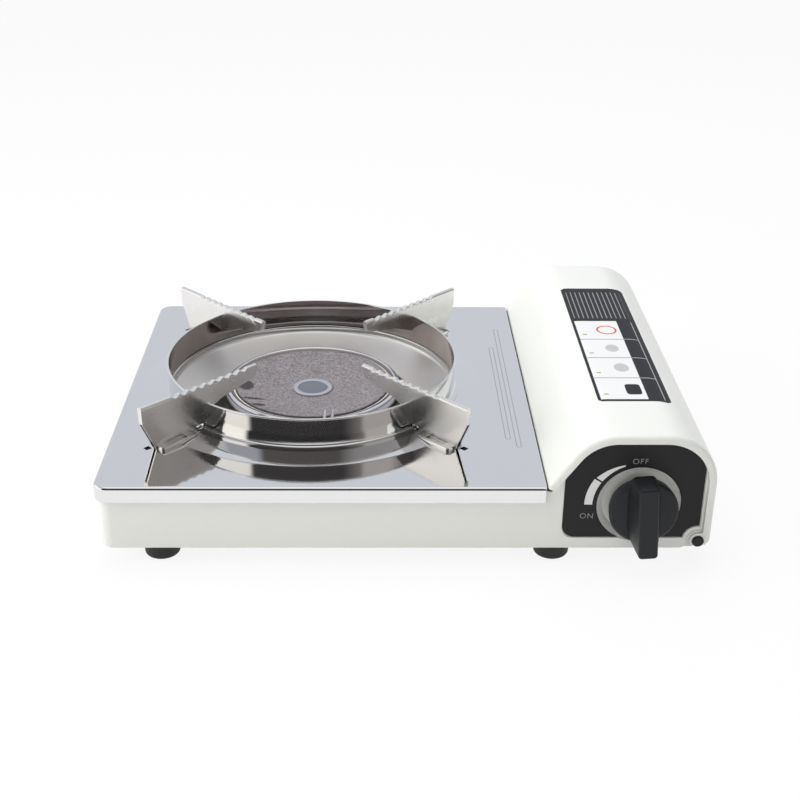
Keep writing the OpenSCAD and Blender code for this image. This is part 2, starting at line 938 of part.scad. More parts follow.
module igniter_cam() {
    lobe = [for (k = [-1:12]) cam_point(knob_turn * k / 12)];
    hub = spindle_d / 2 + 2.4;
    color(ceramic)
        translate([knob_x, 0, knob_z])
            difference() {
                union() {
                    rod_y(0, cam_y, cam_y + cam_t, 0, hub);
                    wall_y(cam_y, cam_t)
                        polygon(concat([[0, 0]], lobe, [cam_point(knob_turn + cam_lead)]));
                }
                rod_y(0, cam_y - 1, cam_y + cam_t + 1, 0, spindle_d / 2 + run_gap / 2);
            }
}

module igniter_body() {
    ear_l = 14;
    wall_back = tray_inset + panel_step + tray_t;
    color(rubber)
        difference() {
            union() {
                translate([(piezo_x0 + piezo_x1) / 2, piezo_y, knob_z])
                    rotate([0, 90, 0])
                        linear_extrude(piezo_x1 - piezo_x0, center = true)
                            rounded(piezo_s, piezo_s, 2);
                translate([piezo_x0, wall_back, knob_z - piezo_s / 2 + 2])
                    cube([ear_l, piezo_y - wall_back, piezo_s - 4]);
            }
            rod_x(piezo_x0 + 1.5, piezo_x1 + 1, piezo_y, knob_z, plunger_r + run_gap);
        }
}

module igniter_plunger() {
    tip_x = knob_x - cam_r - nose_gap;
    shoulder_x = tip_x - nose_l;
    tail_x = piezo_x0 + 1.5 + plunger_travel + 1;
    color(ceramic) {
        rod_x(tail_x, shoulder_x, piezo_y, knob_z, plunger_r);
        rod_x(shoulder_x - 1, tip_x - nose_r, piezo_y, knob_z, nose_r);
        translate([tip_x - nose_r, piezo_y, knob_z])
            sphere(nose_r);
    }
}

// ---------------------------------------------------------------- pan support

module pan_ring() {
    z0 = pad_z;
    slot_w = arm_t + 0.2;
    color(polished)
        translate([burner_x, burner_y, z0])
            difference() {
                rotate_extrude($fn = 180)
                    ring_profile();
                for (a = [45:90:315])
                    rotate([0, 0, a])
                        translate([ring_r - 4, -slot_w / 2, ring_slot_z])
                            cube([6, slot_w, ring_h]);
            }
}

// Half section of the wind ring: foot flange, fillet, wall and rolled rim
module ring_profile() {
    fillet = 1.2;
    foot_t = 0.9;
    translate([ring_r - ring_t, 0])
        square([ring_t, ring_h - bead_r]);
    translate([ring_r - ring_t, 0])
        square([ring_t + ring_foot - foot_t / 2, foot_t]);
    translate([ring_r + ring_foot - foot_t / 2, foot_t / 2])
        circle(foot_t / 2, $fn = fine);
    translate([ring_r - ring_t + bead_r, ring_h - bead_r])
        circle(bead_r, $fn = fine);
    difference() {
        translate([ring_r - eps, foot_t - eps])
            square(fillet);
        translate([ring_r + fillet, foot_t + fillet])
            circle(fillet, $fn = fine);
    }
}

module pan_arm_front_left() {
    pan_arm(arm_names_fl);
}

module pan_arm_front_right() {
    pan_arm(arm_names_fr);
}

module pan_arm_rear_left() {
    pan_arm(arm_names_rl);
}

module pan_arm_rear_right() {
    pan_arm(arm_names_rr);
}

// A pan arm: one sheet folded over its top edge, toothed, cut to its outline, with two feet
module pan_arm(a) {
    color(polished)
        translate([burner_x, burner_y, pad_z])
            rotate([0, 0, a]) {
                intersection() {
                    translate([arm_out + 1, 0, 0])
                        rotate([90, 0, -90])
                            linear_extrude(arm_out + 1)
                                fold_section();
                    translate([0, arm_t / 2 + 1, 0])
                        rotate([90, 0, 0])
                            linear_extrude(arm_t + 2)
                                arm_outline();
                }
                for (s = [-1, 1])
                    arm_flange(s);
            }
}

// Section across a folded arm: two walls joined by a round fold
module fold_section() {
    r = arm_t / 2;
    gap_r = r - arm_sheet;
    difference() {
        union() {
            translate([0, arm_h - r])
                circle(r, $fn = fine);
            translate([-r, 0])
                square([arm_t, arm_h - r]);
        }
        translate([0, arm_h - r])
            circle(gap_r, $fn = fine);
        translate([-gap_r, -1])
            square([2 * gap_r, arm_h - r + 1]);
    }
}

// Outline of an arm, as (distance from the ring's centre, height)
module arm_outline() {
    finger_z = arm_h - 7.8;
    inside_r = ring_r - ring_t - 0.2;
    outside_r = ring_r + 0.1;
    tip_r = 2.4;
    foot_clear = 2.4;
    difference() {
        union() {
            polygon([
                [arm_in + tip_r, arm_h],
                [arm_out - 0.6, arm_h],
                [arm_out, arm_h - 0.8],
                [arm_out - 0.6, arm_h - arm_corner_drop],
                [arm_foot, -collar_h],
                [collar_r + 1.7, -collar_h],
                [collar_in_r + collar_clear, 0],
                [arm_foot_in, 0],
                [arm_foot_in, foot_clear],
                [outside_r, foot_clear],
                [outside_r, ring_slot_z + 0.2],
                [inside_r, ring_slot_z + 0.2],
                [arm_in + 28, arm_h - 12.9],
                [arm_in + tip_r, finger_z],
                [arm_in, finger_z + tip_r],
                [arm_in, arm_h - tip_r]
            ]);
            for (z = [arm_h - tip_r, finger_z + tip_r])
                translate([arm_in + tip_r, z])
                    circle(tip_r, $fn = fine);
        }
        for (k = [0:teeth - 1])
            translate([tooth_first + k * tooth_pitch, arm_h + notch_r - tooth_depth])
                circle(notch_r, $fn = fine);
    }
}

// A foot flange turned out from one wall of an arm, raised over the collar
module arm_flange(s) {
    x0 = collar_in_r + collar_clear;
    x1 = arm_foot - 1;
    y0 = arm_t / 2 - arm_sheet;
    w = flange_l + arm_sheet;
    top = 0.3;
    slot_l = 14;
    slot_w = 1.4;
    mirror([0, s < 0 ? 1 : 0, 0])
        difference() {
            intersection() {
                translate([0, y0 + w, 0])
                    rotate([90, 0, 0])
                        linear_extrude(w)
                            polygon([
                                [x0, 0],
                                [collar_r + 1.7, -collar_h],
                                [x1, -collar_h],
                                [x1, top],
                                [x0, top]
                            ]);
                translate([0, 0, -collar_h - 1])
                    union() {
                        translate([x0, y0, 0])
                            cube([x1 - x0, w - 1, collar_h + 2]);
                        translate([x0 + 1, y0, 0])
                            cube([x1 - x0 - 2, w, collar_h + 2]);
                        for (x = [x0 + 1, x1 - 1])
                            translate([x, y0 + w - 1, 0])
                                cylinder(h = collar_h + 2, r = 1, $fn = fine);
                    }
            }
            translate([(x0 + x1) / 2 - slot_l / 2, arm_t / 2 + 1.2, -collar_h - 1])
                cube([slot_l, slot_w, collar_h + 3]);
        }
}

// ---------------------------------------------------------------- burner

module burner_bowl() {
    wall_r = well_r + plate_t + 0.2;
    color(satin)
        translate([burner_x, burner_y, 0])
            rotate_extrude($fn = 180)
                difference() {
                    bowl_profile(wall_r, 0);
                    bowl_profile(wall_r, bowl_t);
                }
}

// Half section of the bowl, set in by i from its lower face: flange, wall and dished floor
module bowl_profile(wall_r, i) {
    wall_z = pad_z - well_drop - 0.6;
    low_z = pad_z - bowl_drop;
    outer = wall_r + bowl_t - i;
    flange_z = i > 0 ? pad_z : pad_under - bowl_t;
    polygon(concat(
        [[bowl_hole_r - (i > 0 ? 1 : 0), low_z + i]],
        [for (k = [1:8]) bowl_curve(k / 8, outer, wall_z + i, low_z + i)],
        [[outer, flange_z]],
        i > 0 ? [[outer, pad_z], [bowl_hole_r - 1, pad_z]] :
            [[wall_r + bowl_flange, flange_z], [wall_r + bowl_flange, pad_under],
            [bowl_hole_r, pad_under]]
    ));
}

// A point of the dished floor: flat at the inner edge and steeper towards the wall
function bowl_curve(u, outer, hi, lo) = [
    bowl_hole_r + (outer - bowl_hole_r) * sin(90 * u),
    lo + (hi - lo) * (1 - cos(90 * u))
];

module burner_cup() {
    rod_end = hub_r + 4;
    color(satin)
        translate([burner_x, burner_y, 0])
            difference() {
                rotate_extrude()
                    polygon([
                        [0, hub_z],
                        [hub_r, hub_z],
                        [hub_r, cup_floor_z - 5],
                        [hub_r + 6, cup_floor_z],
                        [cup_r - 5, cup_floor_z],
                        [cup_r, cup_floor_z + 5],
                        [cup_r, mesh_z - mesh_t],
                        [cup_r - cup_t, mesh_z - mesh_t],
                        [cup_r - cup_t, cup_floor_z + 5.5],
                        [cup_r - 5.5, cup_floor_z + cup_t],
                        [hub_r + 5.5, cup_floor_z + cup_t],
                        [hub_r - cup_t, cup_floor_z - 4.5],
                        [hub_r - cup_t, hub_z + cup_t],
                        [0, hub_z + cup_t]
                    ]);
                translate([hub_r - 4, 0, gas_z])
                    rotate([0, 90, 0])
                        cylinder(h = rod_end, r = mix_r + run_gap);
            }
}

module burner_plate() {
    stone_r = cup_r - cup_t - 0.4;
    low = mesh_z - mesh_t - mesh_dish - stone_t;
    color(ceramic)
        translate([burner_x, burner_y, 0])
            difference() {
                rotate_extrude()
                    polygon([
                        [0, low],
                        [stone_r - stone_edge, low],
                        [stone_r, low + stone_edge],
                        [stone_r, mesh_z - mesh_t],
                        [mesh_r, mesh_z - mesh_t],
                        [eyelet_r, mesh_z - mesh_t - mesh_dish],
                        [0, mesh_z - mesh_t - mesh_dish]
                    ]);
                for (ring = [20, 32, 44], k = [0:11])
                    rotate([0, 0, k * 30 + ring])
                        translate([ring, 0, low - 1])
                            cylinder(h = stone_t + mesh_dish + 2, r = 1.5, $fn = 16);
            }
}

module burner_mesh() {
    seat = 1.2;
    color([0.50, 0.47, 0.46])
        translate([burner_x, burner_y, 0])
            rotate_extrude()
                polygon([
                    [0, mesh_z - mesh_dish - mesh_t],
                    [eyelet_r, mesh_z - mesh_dish - mesh_t],
                    [mesh_r, mesh_z - mesh_t],
                    [mesh_r + seat, mesh_z - mesh_t],
                    [mesh_r + seat, mesh_z],
                    [mesh_r, mesh_z],
                    [eyelet_r, mesh_z - mesh_dish],
                    [0, mesh_z - mesh_dish]
                ]);
}

module burner_rim() {
    bead = 2.2;
    skirt_h = 8;
    lip_r = mesh_r + 1.4;
    color(polished)
        translate([burner_x, burner_y, 0])
            rotate_extrude() {
                translate([rim_r - 1, mesh_z - skirt_h])
                    square([1, skirt_h]);
                difference() {
                    union() {
                        translate([rim_r - bead, mesh_z])
                            circle(bead, $fn = fine);
                        translate([mesh_r, mesh_z + 0.1])
                            square([rim_r - bead - mesh_r, 0.8]);
                    }
                    translate([lip_r - bead, mesh_z - 2 * bead])
                        square([rim_r - 1 - lip_r + bead, 2 * bead]);
                }
            }
}

module burner_eyelet() {
    top = mesh_z - mesh_dish + eyelet_t;
    color(polished)
        translate([burner_x, burner_y, 0])
            rotate_extrude() {
                difference() {
                    translate([0, mesh_z - mesh_dish])
                        square([eyelet_r, eyelet_t]);
                    translate([-1, top - 0.5])
                        square([eyelet_in_r + 1, 1]);
                }
            }
}

// A low bridge under the burner's hub, screwed to the tray
module burner_stand() {
    color(satin)
        translate([burner_x, burner_y, 0])
            difference() {
                union() {
                    translate([-stand_half, -14, hub_z - stand_t])
                        cube([2 * stand_half, 28, stand_t]);
                    for (s = [-1, 1]) {
                        translate([s * (stand_half - stand_t / 2) - stand_t / 2, -14, floor_z])
                            cube([stand_t, 28, hub_z - floor_z]);
                        translate([s * (stand_half + 5) - 5.5, -14, floor_z])
                            cube([11, 28, stand_t]);
                    }
                }
                for (p = stand_screws())
                    translate([p[0], p[1], floor_z - 1])
                        cylinder(h = stand_t + 2, r = 1.6, $fn = fine);
            }
}

function stand_screws() = [for (s = [-1, 1]) [s * (stand_half + 6), 0]];

module mixing_tube() {
    start_x = burner_x + hub_r - cup_t;
    window_l = 12;
    color(satin)
        difference() {
            rod_x(start_x, mix_end_x, burner_y, gas_z, mix_r);
            rod_x(start_x - 1, mix_end_x - 2, burner_y, gas_z, mix_r - mix_wall);
            rod_x(mix_end_x - 3, mix_end_x + 1, burner_y, gas_z, jet_nose_r + run_gap);
            translate([mix_end_x - 6 - window_l, burner_y - mix_r - 1, gas_z - 4])
                cube([window_l, 2 * mix_r + 2, 8]);
        }
}

module gas_jet() {
    hex_l = 5;
    color(brass)
        difference() {
            union() {
                rod_x(mix_end_x - 6, mix_end_x + 1, burner_y, gas_z, jet_nose_r);
                translate([mix_end_x, burner_y, gas_z])
                    rotate([0, 90, 0])
                        cylinder(h = hex_l, r = 5.2, $fn = 6);
                rod_x(mix_end_x + hex_l - 1, mix_end_x + hex_l + 3, burner_y, gas_z, pipe_r + 1);
            }
            rod_x(mix_end_x + 1, mix_end_x + hex_l + 4, burner_y, gas_z, pipe_r + run_gap);
            rod_x(mix_end_x - 7, mix_end_x + 2, burner_y, gas_z, 0.5);
        }
}

// The pipe leaves the regulator, turns back behind the partition and feeds the jet
module gas_pipe() {
    b = pipe_bend;
    x = pipe_turn_x;
    reg_side = knob_x - reg_w / 2;
    color(brass) {
        rod_x(x + b, reg_side + pipe_in, pipe_y, gas_z, pipe_r);
        rod_y(x, pipe_y + b, burner_y - b, gas_z, pipe_r);
        rod_x(mix_end_x + 1.2, x - b, burner_y, gas_z, pipe_r);
        translate([x + b, pipe_y + b, gas_z])
            rotate([0, 0, 180])
                rotate_extrude(angle = 90)
                    translate([b, 0])
                        circle(pipe_r, $fn = fine);
        translate([x - b, burner_y - b, gas_z])
            rotate_extrude(angle = 90)
                translate([b, 0])
                    circle(pipe_r, $fn = fine);
    }
}

// ---------------------------------------------------------------- regulator and cartridge bay

module regulator_body() {
    boss_front = 4;
    key_w = 4;
    side_x = knob_x - reg_w / 2;
    inlet_y = reg_y + reg_l + socket_l;
    color(satin)
        difference() {
            union() {
                translate([knob_x, 0, (reg_z0 + reg_top) / 2])
                    wall_y(reg_y, reg_l)
                        rounded(reg_w, reg_top - reg_z0, 4);
                rod_y(knob_x, reg_y - boss_front, reg_y + 1, knob_z, 9);
                rod_y(can_x, reg_y + reg_l - 1, inlet_y, can_z, socket_boss_r);
                rod_y(can_x, inlet_y - 1, inlet_y + magnet_t, can_z, magnet_in_r - run_gap);
                translate([can_x - key_w / 2, inlet_y - 5, can_z + magnet_r + face_gap])
                    cube([key_w, 5 + magnet_t + 3, 3]);
            }
            rod_y(knob_x, reg_y - boss_front - 1, reg_y + 9, knob_z, spindle_d / 2 + run_gap);
            rod_y(can_x, socket_y0, inlet_y + magnet_t + 1, can_z, socket_r);
            rod_y(can_x, socket_y0 - seal_t, socket_y0 + 1, can_z, seal_r);
            rod_x(side_x - 1, side_x + pipe_in + face_gap, pipe_y, gas_z, pipe_r + run_gap);
        }
}

module magnet_ring() {
    y = reg_y + reg_l + socket_l;
    color(satin)
        difference() {
            rod_y(can_x, y, y + magnet_t, can_z, magnet_r);
            rod_y(can_x, y - 1, y + magnet_t + 1, can_z, magnet_in_r);
        }
}

module inlet_seal() {
    y = socket_y0 - seal_t;
    color(rubber)
        difference() {
            rod_y(can_x, y, socket_y0, can_z, seal_r);
            rod_y(can_x, y - 1, socket_y0 + 1, can_z, 1.6);
        }
}

module pipe_nut() {
    x = knob_x - reg_w / 2 - nut_l;
    color(brass)
        difference() {
            translate([x, pipe_y, gas_z])
                rotate([0, 90, 0])
                    cylinder(h = nut_l, r = nut_r, $fn = 6);
            rod_x(x - 1, x + nut_l + 1, pipe_y, gas_z, pipe_r + run_gap);
        }
}

module regulator_bracket() {
    w = 44;
    foot_l = 12;
    top = knob_z + 12;
    color(satin)
        difference() {
            union() {
                translate([knob_x - w / 2, reg_y - web_t, floor_z])
                    cube([w, web_t, top - floor_z]);
                translate([knob_x - w / 2, reg_y - web_t - foot_l, floor_z])
                    cube([w, foot_l + web_t, web_t]);
            }
            rod_y(knob_x, reg_y - web_t - 1, reg_y + 1, knob_z, 9 + run_gap);
            for (p = panel_screw_places())
                rod_y(p[0], reg_y - web_t - 1, reg_y + 1, p[1], 1.6);
            for (p = bracket_screw_places())
                translate([p[0], p[1], floor_z - 1])
                    cylinder(h = web_t + 2, r = 1.6, $fn = fine);
        }
}

heat_y0 = 160;
heat_w = 46;

// Aluminium strip that carries some of the burner's warmth to the cartridge
module heat_plate() {
    riser_x = burner_x + bowl_hole_r + 6;
    end_x = can_x + 18;
    bowl_low = pad_z - bowl_drop - face_gap;
    color(satin)
        difference() {
            union() {
                translate([riser_x, heat_y0, heat_z])
                    cube([end_x - riser_x, heat_w, heat_t]);
                translate([riser_x, heat_y0, heat_z])
                    cube([heat_t, heat_w * 0.5, bowl_low - heat_z]);
            }
            for (k = [0:2])
                translate([wall_x + 8 + k * 14, heat_y0 + 8, heat_z - 1])
                    air_slot(3, heat_w - 16, heat_t + 2);
        }
}

module can_cradle_front() {
    can_cradle(can_front_y + cradle_front);
}

module can_cradle_rear() {
    can_cradle(can_front_y + cradle_rear);
}

// A sheet saddle: its edge follows the cartridge, and its foot lies on the tray
module can_cradle(y) {
    w = 60;
    h = 15;
    foot_l = 10;
    color(satin) {
        difference() {
            wall_y(y, 1.2)
                translate([can_x - w / 2, floor_z])
                    square([w, h]);
            rod_y(can_x, y - 1, y + 3, can_z, can_r + 0.2);
        }
        translate([can_x - w / 2, y, floor_z])
            cube([w, foot_l, 1]);
    }
}

// ---------------------------------------------------------------- electrode

module electrode_insulator() {
    color(ceramic)
        translate([electrode_x, electrode_y, 0])
            difference() {
                union() {
                    translate([0, 0, insulator_z0])
                        cylinder(h = insulator_z1 - insulator_z0, r = insulator_r, $fn = fine);
                    translate([0, 0, collar_z])
                        cylinder(h = 2.4, r = insulator_r + 1, $fn = fine);
                }
                translate([0, 0, insulator_z0 - 1])
                    cylinder(h = insulator_z1 - insulator_z0 + 2, r = rod_r + run_gap, $fn = fine);
            }
}

// The rod comes up through the insulator and bends in over the burner's rim
module electrode_rod() {
    color(satin)
        prong(electrode_x, insulator_z0);
}

// A rod from z0 up, with a quarter bend towards the mesh
module prong(x, z0) {
    bend = 2.5;
    top = mesh_z + prong_rise;
    off = x - burner_x;
    tip = burner_y - sqrt(mesh_r * mesh_r - off * off) + 1.5;
    translate([x, electrode_y, 0]) {
        translate([0, 0, z0])
            cylinder(h = top - bend - z0, r = rod_r, $fn = fine);
        translate([0, bend, top - bend])
            rotate([0, -90, 0])
                rotate([0, 0, 270])
                    rotate_extrude(angle = 90)
                        translate([bend, 0])
                            circle(rod_r, $fn = fine);
        translate([0, bend, top])
            rotate([-90, 0, 0])
                cylinder(h = tip - electrode_y - bend, r = rod_r, $fn = fine);
    }
}

// The bracket carries the insulator and the earthed prong beside it
module electrode_bracket() {
    t = 1;
    web_y = electrode_y - 6;
    x0 = electrode_x - 5.5;
    w = prong_gap + 8.5;
    color(satin)
        difference() {
            union() {
                translate([x0, web_y, floor_z])
                    cube([w, t, collar_z - floor_z]);
                translate([x0, web_y, collar_z - t])
                    cube([w, 12, t]);
                translate([x0, web_y - 9, floor_z])
                    cube([w, 9 + t, t]);
                prong(electrode_x + prong_gap, collar_z - t / 2);
            }
            translate([electrode_x, electrode_y, collar_z - t - 1])
                cylinder(h = t + 2, r = insulator_r + run_gap, $fn = fine);
            rod_y(electrode_x, web_y - 1, web_y + t + 1, wire_low_z, wire_r + face_gap);
            for (p = bracket_screw_places())
                translate([p[0], p[1], floor_z - 1])
                    cylinder(h = t + 2, r = 1.6, $fn = fine);
        }
}

// Route of the ignition lead, from the igniter to the electrode
wire_turn_x = wall_x - 12;
wire_low_z = floor_z + 7;
wire_path = [
    [piezo_x0, piezo_y, knob_z],
    [wire_turn_x, piezo_y, knob_z],
    [wire_turn_x, piezo_y, wire_low_z],
    [electrode_x, piezo_y, wire_low_z],
    [electrode_x, electrode_y, wire_low_z],
    [electrode_x, electrode_y, insulator_z0]
];

module ignition_wire() {
    last = len(wire_path) - 1;
    b = wire_bend;
    color([0.75, 0.2, 0.15]) {
        for (k = [0:last - 1])
            wire_run(wire_path[k], wire_path[k + 1], k > 0 ? b : 0, k < last - 1 ? b : 0);
        for (k = [1:last - 1])
            wire_elbow(wire_path[k - 1], wire_path[k], wire_path[k + 1]);
    }
}

// One straight run of the lead along an axis, shortened at each end for the bends
module wire_run(p, q, cut_p, cut_q) {
    d = q - p;
    turn = abs(d[0]) > eps ? [0, 90 * sign(d[0]), 0]
        : abs(d[1]) > eps ? [-90 * sign(d[1]), 0, 0]
        : [d[2] > 0 ? 0 : 180, 0, 0];
    translate(p + d / norm(d) * cut_p)
        rotate(turn)
            cylinder(h = norm(d) - cut_p - cut_q, r = wire_r, $fn = fine);
}

// A quarter bend of the lead at q, on the way from p to s
module wire_elbow(p, q, s) {
    u = (q - p) / norm(q - p);
    v = (s - q) / norm(s - q);
    w = cross(u, v);
    c = q + wire_bend * (v - u);
    multmatrix([
        [-v[0], u[0], w[0], c[0]],
        [-v[1], u[1], w[1], c[1]],
        [-v[2], u[2], w[2], c[2]],
        [0, 0, 0, 1]
    ])
        rotate_extrude(angle = 90)
            translate([wire_bend, 0])
                circle(wire_r, $fn = fine);
}

// ---------------------------------------------------------------- feet and screws

function foot_places() = [
    [foot_left_x, foot_in_y],
    [foot_right_x, foot_in_y],
    [foot_left_x, depth - foot_in_y],
    [foot_right_x, depth - foot_in_y]
];

module foot_front_left() {
    foot(foot_places()[0]);
}

module foot_front_right() {
    foot(foot_places()[1]);
}

module foot_rear_left() {
    foot(foot_places()[2]);
}

module foot_rear_right() {
    foot(foot_places()[3]);
}

// A rubber foot with a round lower edge and a push-in stem
module foot(p) {
    steps = 8;
    color(rubber)
        translate([p[0], p[1], 0])
            rotate_extrude()
                polygon(concat(
                    [[0, 0]],
                    [for (k = [0:steps]) foot_curve(90 * k / steps)],
                    [
                        [foot_r, foot_h],
                        [foot_stem_r, foot_h],
                        [foot_stem_r, floor_z + 0.05],
                        [foot_bead_r, floor_z + 0.05],
                        [foot_bead_r - 0.8, floor_z + 2],
                        [0, floor_z + 2]
                    ]
                ));
}

// A point of the foot's lower edge, from the pad at 0 to the upright side at 90 degrees
function foot_curve(a) = [
    foot_r - foot_edge * (1 - sin(a)),
    foot_edge * (1 - cos(a))
];

// Screws through the tray's floor: bridge, partition, regulator bracket, electrode bracket
function bracket_screw_places() = concat(
    [for (s = stand_screws()) [burner_x + s[0], burner_y + s[1]]],
    [for (y = [52, depth - 42]) [wall_x - 5, y]],
    [for (s = [-1, 1]) [knob_x + s * 15, reg_y - web_t - 6]],
    [[electrode_x, electrode_y - 10.5]]
);

module bracket_screws() {
    color(satin)
        for (p = bracket_screw_places())
            translate([p[0], p[1], 0])
                floor_screw();
}

// A pan-head screw from below, with its nut above the bracket
module floor_screw() {
    head_r = 2.8;
    head_t = 1.5;
    nut_t = 2;
    grip_l = 1.5;
    rotate_extrude($fn = fine)
        polygon([
            [0, tray_z - head_t],
            [head_r - 0.6, tray_z - head_t],
            [head_r, tray_z - 0.5],
            [head_r, tray_z],
            [1.5, tray_z],
            [1.5, floor_z + grip_l],
            [head_r, floor_z + grip_l],
            [head_r, floor_z + grip_l + nut_t],
            [0, floor_z + grip_l + nut_t]
        ]);
}

// Screws that hold the regulator to its bracket, as (x, z)
function panel_screw_places() = [for (s = [-1, 1]) [knob_x + s * 13, knob_z - 5]];

module panel_screws() {
    color(satin)
        for (p = panel_screw_places()) {
            rod_y(p[0], reg_y - web_t - 1.6, reg_y - web_t, p[1], 2.8);
            rod_y(p[0], reg_y - web_t - 0.5, reg_y, p[1], 1.5);
        }
}

in_place() base_tray();
in_place() top_plate();
in_place() can_partition();
in_place() control_panel();
in_place() cover();
in_place() hinge_pin_front();
in_place() hinge_pin_rear();
in_place() pan_ring();
in_place() pan_arm_front_left();
in_place() pan_arm_front_right();
in_place() pan_arm_rear_left();
in_place() pan_arm_rear_right();
in_place() burner_bowl();
in_place() burner_cup();
in_place() burner_plate();
in_place() burner_mesh();
in_place() burner_rim();
in_place() burner_eyelet();
in_place() burner_stand();
in_place() mixing_tube();
in_place() gas_jet();
in_place() gas_pipe();
in_place() regulator_body();
in_place() regulator_bracket();
in_place() magnet_ring();
in_place() inlet_seal();
in_place() pipe_nut();
in_place() valve_spindle();
in_place() knob();
in_place() igniter_cam();
in_place() igniter_body();
in_place() igniter_plunger();
in_place() ignition_wire();
in_place() electrode_insulator();
in_place() electrode_rod();
in_place() electrode_bracket();
in_place() heat_plate();
in_place() can_cradle_front();
in_place() can_cradle_rear();
in_place() foot_front_left();
in_place() foot_front_right();
in_place() foot_rear_left();
in_place() foot_rear_right();
in_place() bracket_screws();
in_place() panel_screws();
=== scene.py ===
# %% [markdown]
# # A butane cassette stove
# The stove's measured parts come from its CAD frame: tray, plate, cover, burner, gas parts.
# This lesson dresses them. It loads the frame, keeps the size of its box, and defines two
# short helpers for places and lengths, because the frame is in metres and a stove's sheet
# metal is easier to think about in millimetres.

# %% Load the frame
import bpy
import bmesh
from math import atan2, cos, degrees, pi, radians, sin, sqrt, tan
from mathutils import Matrix, Vector


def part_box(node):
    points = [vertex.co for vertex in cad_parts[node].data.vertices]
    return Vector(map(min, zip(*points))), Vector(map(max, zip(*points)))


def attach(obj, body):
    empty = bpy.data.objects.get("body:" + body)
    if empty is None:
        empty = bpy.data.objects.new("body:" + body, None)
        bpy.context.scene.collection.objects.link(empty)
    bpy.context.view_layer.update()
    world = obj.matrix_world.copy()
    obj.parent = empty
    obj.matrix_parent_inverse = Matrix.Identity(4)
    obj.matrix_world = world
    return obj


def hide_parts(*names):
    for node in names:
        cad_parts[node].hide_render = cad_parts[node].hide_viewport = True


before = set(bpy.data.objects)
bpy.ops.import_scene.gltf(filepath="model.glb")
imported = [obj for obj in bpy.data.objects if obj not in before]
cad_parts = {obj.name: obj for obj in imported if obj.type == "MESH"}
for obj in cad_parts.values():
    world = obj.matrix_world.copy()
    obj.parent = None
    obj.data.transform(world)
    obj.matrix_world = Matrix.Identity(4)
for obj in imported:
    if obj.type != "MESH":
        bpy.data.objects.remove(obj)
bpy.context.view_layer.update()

mm = 0.001
plate_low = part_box("top_plate")[0]
left, front = plate_low[0], plate_low[1]


def at(x, y, z):
    """A place in mm: x from the plate's left edge, y from its front edge, z from the floor."""
    return Vector((left + x * mm, front + y * mm, z * mm))


# %% [markdown]
# ## The stove's main sizes
# Each size below is the one that the CAD parts use. They are named once, so that a piece
# that is modelled here lands on the part that carries it.

# %% Sizes in millimetres
plate_w, plate_d, plate_z, plate_t = 256.0, 269.0, 51.0, 0.8
centre_x, centre_y = 118.1, 134.6
collar_h, collar_r, collar_in_r, well_r = 2.6, 110.5, 97.2, 90.8
pad_z = plate_z + collar_h
cover_x0, cover_x1, crown_z, cover_t = 256.4, 351.3, 83.75, 1.0
bend_left, bend_right, slope, flange_w = 30.0, 30.5, radians(54.8), 4.8
arc_left = (294.14, 53.9)
skirt_z, hem_z = 38.0, 49.8
knob_x, knob_z, dial_x, panel_y = 309.8, 39.2, 308.4, 2.4
hinge_x, hinge_z, lug_r = 344.0, 16.3, 4.9
burner_centre = at(centre_x, centre_y, 0)
print("burner centre:", [round(v, 4) for v in burner_centre])

# %% [markdown]
# ## The camera
# The stove is seen from the front, a little to the right of the plate's middle, and from
# about 26 degrees above. The lens and the place are set once, and the camera's three axes
# are built from its heading, its pitch and a slight roll.

# %% Camera
pitch, yaw, roll = 0.4604, 0.0206, 0.0111
ahead = Vector((sin(yaw) * cos(pitch), cos(yaw) * cos(pitch), -sin(pitch)))
right = Vector((cos(yaw), -sin(yaw), 0))
up = right.cross(ahead)
cam_x = cos(roll) * right + sin(roll) * up
cam_y = cos(roll) * up - sin(roll) * right
cam_place = at(159.28, -629.89, 418.69)

cam_data = bpy.data.cameras.new("stove_camera")
cam_data.sensor_width = 36.0
cam_data.lens = 58.5314
cam_data.clip_start = 0.01
cam = bpy.data.objects.new("stove_camera", cam_data)
cam_turn = Matrix((cam_x, cam_y, -ahead)).transposed().to_4x4()
cam.matrix_world = Matrix.Translation(cam_place) @ cam_turn
bpy.context.scene.collection.objects.link(cam)
bpy.context.scene.camera = cam
bpy.context.scene.view_settings.view_transform = "Standard"
print("camera at", [round(v, 3) for v in cam_place])

# %% [markdown]
# ## Arithmetic on shader sockets
# A material's pattern is a sum of products of masks and waves. Blender builds that from Math
# nodes, which are slow to read one by one. This class wraps a socket, so that `1 - mask * 2`
# in Python adds the nodes for it. Everything that isn't arithmetic goes through `node`.

